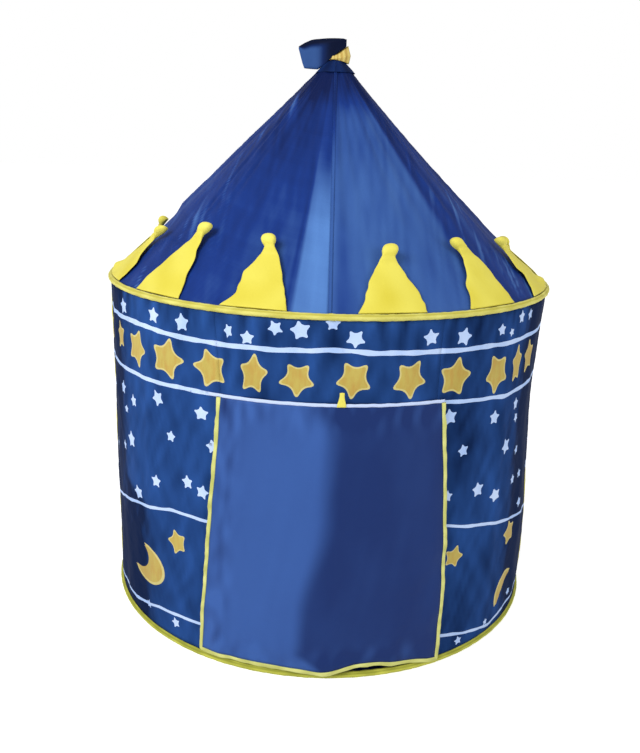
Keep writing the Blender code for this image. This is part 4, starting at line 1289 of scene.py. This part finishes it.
# %% Flag and collar
# along the strip: how far left, how high the crest and the hem, and how wide, each as a
# share of the flag's own length, height and half width
FLAG_LEFT, FLAG_CREST, FLAG_WIDE = 0.087, 0.0325, 0.0155
FLAG_SHARES = (
    (0.262, 0.93, 0.45, 0.94), (0.18, 0.99, 0.28, 0.98), (0.06, 1.0, 0.08, 1.0),
    (-0.06, 1.0, -0.2, 0.98), (-0.17, 0.99, -0.43, 0.9), (-0.25, 0.98, -0.69, 0.78),
    (-0.33, 0.96, -0.88, 0.64), (-0.4, 0.94, -0.93, 0.5), (-0.47, 0.92, -1.06, 0.4),
    (-0.57, 0.89, -1.06, 0.32), (-0.66, 0.84, -1.05, 0.26), (-0.745, 0.74, -1.04, 0.23),
    (-0.83, 0.64, -1.02, 0.225), (-0.88, 0.56, -0.7, 0.225), (-0.93, 0.48, -0.25, 0.225),
    (-0.985, 0.39, 0.25, 0.225),
)


def flag_place(s, t):
    across, crest, hem, half = between(FLAG_SHARES, s)
    step = 2 * t - 1
    spread = sin(min(1.0, abs(step) * 2) * pi / 2)
    sway = 0.0012 * ripple(s * 5, step * 2, 101) * abs(step)
    sideways = copysign(FLAG_WIDE * half * spread, step) + sway
    height = APEX_HEIGHT + FLAG_CREST * blend(crest, hem, step**2)
    return Vector((FLAG_LEFT * across, sideways, height))


flag = sheet(
    "cloth_flag", 60, 48, flag_place, lambda s, t: (s * 0.104, t * 0.13),
    lambda s, t: 0.05 + 0.56 * ease((s - 0.22) / 0.4) * ease((abs(2 * t - 1) - 0.34) / 0.25),
    [FLAG_BLUE], 0.0008,
)
settle(flag, "flag_top", "flag", "blue_cloth")
# (radius, height over the peak) from the neck down, where the flag presses and on the side
# that it leaves free
COLLAR_TIGHT = ((0.0056, -0.0015), (0.011, -0.003), (0.0165, -0.007), (0.018, -0.0125), (0.0152, -0.0143))
COLLAR_FREE = ((0.0056, 0.005), (0.017, 0.011), (0.0275, 0.0165), (0.0335, -0.004), (0.03, -0.0215))
PLEATS = 15


def collar_place(s, t):
    """Gathered cloth round the neck, puffed out and up where it is free."""
    puff = bump((360.0 * s + 90.0) % 360.0 - 180.0, 0.0, 50.0)
    ends = between(COLLAR_TIGHT, t), between(COLLAR_FREE, t)
    radius, rise = (blend(tight, free, puff) for tight, free in zip(*ends))
    gather = cos(2 * pi * s * PLEATS + 3 * ripple(s * 4, t, 102)) * ease((t - 0.1) / 0.4)
    radius += blend(0.0004, 0.0011, puff) * gather
    return polar(radius, 360.0 * s, APEX_HEIGHT + rise)


collar = sheet(
    "cloth_flag_collar", 96, 24, collar_place, lambda s, t: (s * 0.16, t * 0.04),
    lambda s, t: 0.55 + 0.35 * cos(2 * pi * s * PLEATS), [COLLAR_GOLD], 0.0008,
)
settle(collar, "flag_top", "flag_collar", "yellow_cloth")
print("flag and collar:", len(flag.data.vertices), "and", len(collar.data.vertices), "points")


# %% [markdown]
# ## Floor cloth
# The floor is a round of the same blue taffeta, sewn into the base binding. It lies flat
# on the ground with small creases, so it may only be a millimetre thick with them.


# %% Make the floor cloth
FLOOR_HOLE, FLOOR_RADIUS, FLOOR_HIGHEST = 0.002, 0.5145, 0.00105


def floor_place(s, t):
    radius = blend(FLOOR_HOLE, FLOOR_RADIUS, t)
    x, y, _ = polar(radius, 360.0 * s)
    crease = 0.00035 * (1 + ripple(x / 0.05, y / 0.09, 111))
    crease += 0.00015 * (1 + ripple(x / 0.016, y / 0.02, 112))
    return Vector((x, y, min(FLOOR_HIGHEST, 0.00025 + crease * ease((0.512 - radius) / 0.01))))


floor_cloth = sheet(
    "cloth_floor", 180, 80, floor_place,
    lambda s, t: polar(blend(FLOOR_HOLE, FLOOR_RADIUS, t), 360.0 * s).xy,
    lambda s, t: 0.2 + 0.1 * ripple(s * 9, t * 5, 113), [BLUE_REVERSE], 0.0004,
)
settle(floor_cloth, "tent", "ground_sheet", "blue_cloth")
print("floor cloth:", len(floor_cloth.data.vertices), "points")

# %% [markdown]
# ## What was cut flat
# Each sheet says the size of cloth it was cut from. Walls and tapes are rectangles; a gore
# is a quarter of a cone's flat pattern, so it fills only part of its rectangle. Tapes and
# threads are listed with the sheet that they are sewn to.

base_front, base_back, eave_front, eave_back = ([item, *rows] for item, rows in bindings)
edge_tapes["wall_lintel"] = eave_front
edge_tapes["wall_back_right"] = eave_back
for name, (start, end, low) in WALLS.items():
    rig.sheet(
        walls[name], flat=(arc(end - start), WALL_HIGH - low), held="stretched",
        rests_on=["eave_hoop", "base_hoop"], with_pieces=edge_tapes.get(name, []),
    )
GORE_AREA = pi / 4 * RING_RADIUS * ROOF_LENGTH
for gore, (strip, rows) in zip(gores.values(), seams):
    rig.sheet(
        gore, flat=(0.8, 0.72), area=GORE_AREA, held="stretched",
        rests_on=["eave_hoop", "apex_hub"], with_pieces=[strip, *rows],
    )
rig.sheet(cap, flat=(0.12, 0.12), area=0.0095, held="stretched", rests_on=["apex_hub"])
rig.sheet(
    flap, flat=(0.52, 0.576), held="hung", rests_on=["cloth_wall_lintel"],
    with_pieces=[binding, door_stitches],
)
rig.sheet(tie, flat=(0.017, 0.031), area=0.0004, held="hung", rests_on=["tape_door_header"])
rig.sheet(header, flat=(0.482, 0.0105), area=0.0037, held="stretched", rests_on=["cloth_wall_lintel"])
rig.sheet(flag, flat=(0.104, 0.13), area=0.0085, held="folded", rests_on=["finial"])
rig.sheet(collar, flat=(0.125, 0.032), area=0.0034, held="gathered", rests_on=["finial"])
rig.sheet(
    floor_cloth, flat=(1.03, 1.03), area=0.832, held="laid", rests_on=[],
    with_pieces=base_front + base_back,
)
print("gore area", round(GORE_AREA, 3), "m2")

# %% [markdown]
# ## Studio
# The floor is white and keeps the tent's shadow, and the background is white to the
# camera only. One large soft light stands front left, a weaker one right, and the rest is
# even light from all round, at a level where colours render as they are written.

# %% Floor and background
FLOOR_HALF, FLOOR_DROP, FLOOR_GLOW, ROOM_LIGHT = 30, 0.0005, 0.56, 0.62
floor_mesh = bpy.data.meshes.new("studio_floor")
corners = [(x * FLOOR_HALF, y * FLOOR_HALF, 0) for x, y in ((-1, -1), (1, -1), (1, 1), (-1, 1))]
floor_mesh.from_pydata(corners, [], [range(4)])
floor = bpy.data.objects.new("studio_floor", floor_mesh)
bpy.context.scene.collection.objects.link(floor)
floor.location.z = -FLOOR_DROP
paper, add = new_material("studio_paper")
matt = add("ShaderNodeBsdfDiffuse", {"Color": linear("#f4f4f4")})
glow = add("ShaderNodeEmission", {"Color": (1, 1, 1, 1), "Strength": FLOOR_GLOW})
dark = add("ShaderNodeEmission", {"Color": (0, 0, 0, 1), "Strength": 0.0})
rays = add("ShaderNodeLightPath").outputs
straight = {0: rays["Is Camera Ray"], 1: rays["Is Glossy Ray"]}
seen = add("ShaderNodeMath", straight, operation="MAXIMUM")
lit = add("ShaderNodeMixShader", {"Fac": seen, 1: dark, 2: glow})
add("ShaderNodeOutputMaterial", {"Surface": add("ShaderNodeAddShader", {0: matt, 1: lit})})
floor_mesh.materials.append(paper)
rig.stage(floor)

world = bpy.data.worlds.new("studio")
bpy.context.scene.world = world
world.use_nodes = True
world.node_tree.nodes.clear()
add = partial(add_node, world.node_tree)
rays = add("ShaderNodeLightPath").outputs
white = add("ShaderNodeBackground", {"Color": (1, 1, 1, 1), "Strength": 1.0})
soft = add("ShaderNodeBackground", {"Color": (1, 1, 1, 1), "Strength": ROOM_LIGHT})
mix = add("ShaderNodeMixShader", {"Fac": rays["Is Camera Ray"], 1: soft, 2: white})
add("ShaderNodeOutputWorld", {"Surface": mix})
print("room light:", ROOM_LIGHT)


# %% Lights
def soft_light(name, place, target, power, size=1.6):
    data = bpy.data.lights.new(name, "AREA")
    data.shape = "SQUARE"
    data.size = size
    data.energy = power
    lamp = bpy.data.objects.new(name, data)
    bpy.context.scene.collection.objects.link(lamp)
    lamp.location = place
    lamp.rotation_euler = (Vector(target) - Vector(place)).to_track_quat("-Z", "Y").to_euler()
    print(name, power, "W")


soft_light("key_front_left", (-2.0, -2.4, 2.6), (0.0, 0.0, 0.7), 85.0)
soft_light("fill_right", (2.6, -2.0, 1.6), (0.0, 0.0, 0.6), 24.0)

# %% [markdown]
# ## Camera
# The camera was found by matching both hoops, the roof lines and the walls: it stands
# 1.97 m in front of the tent's middle, 0.3 m above the eaves, and looks down 16 degrees.

# %% Camera
FOCAL_PIXELS, IMAGE_HEIGHT, SENSOR = 801.0, 753.0, 36.0
EYE = (-0.018, -1.966, 1.08)
PITCH, YAW, ROLL = (radians(angle) for angle in (16.16, 0.13, 1.81))
data = bpy.data.cameras.new("camera")
data.sensor_width = SENSOR
data.lens = FOCAL_PIXELS * SENSOR / IMAGE_HEIGHT
camera = bpy.data.objects.new("camera", data)
bpy.context.scene.collection.objects.link(camera)
aim = Matrix.Rotation(-YAW, 4, "Z") @ Matrix.Rotation(pi / 2 - PITCH, 4, "X")
camera.matrix_world = Matrix.Translation(EYE) @ aim @ Matrix.Rotation(ROLL, 4, "Z")
bpy.context.scene.camera = camera
bpy.context.scene.view_settings.view_transform = "Standard"
print(f"lens {data.lens:.1f} mm")

# %% Keep both boxes and finish
bpy.context.view_layer.update()
boxes = {"cad": CAD_BOX, "visual": [list(corner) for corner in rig.bounds()]}
with open("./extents.json", "w") as out:
    json.dump(boxes, out)
print("boxes", boxes)
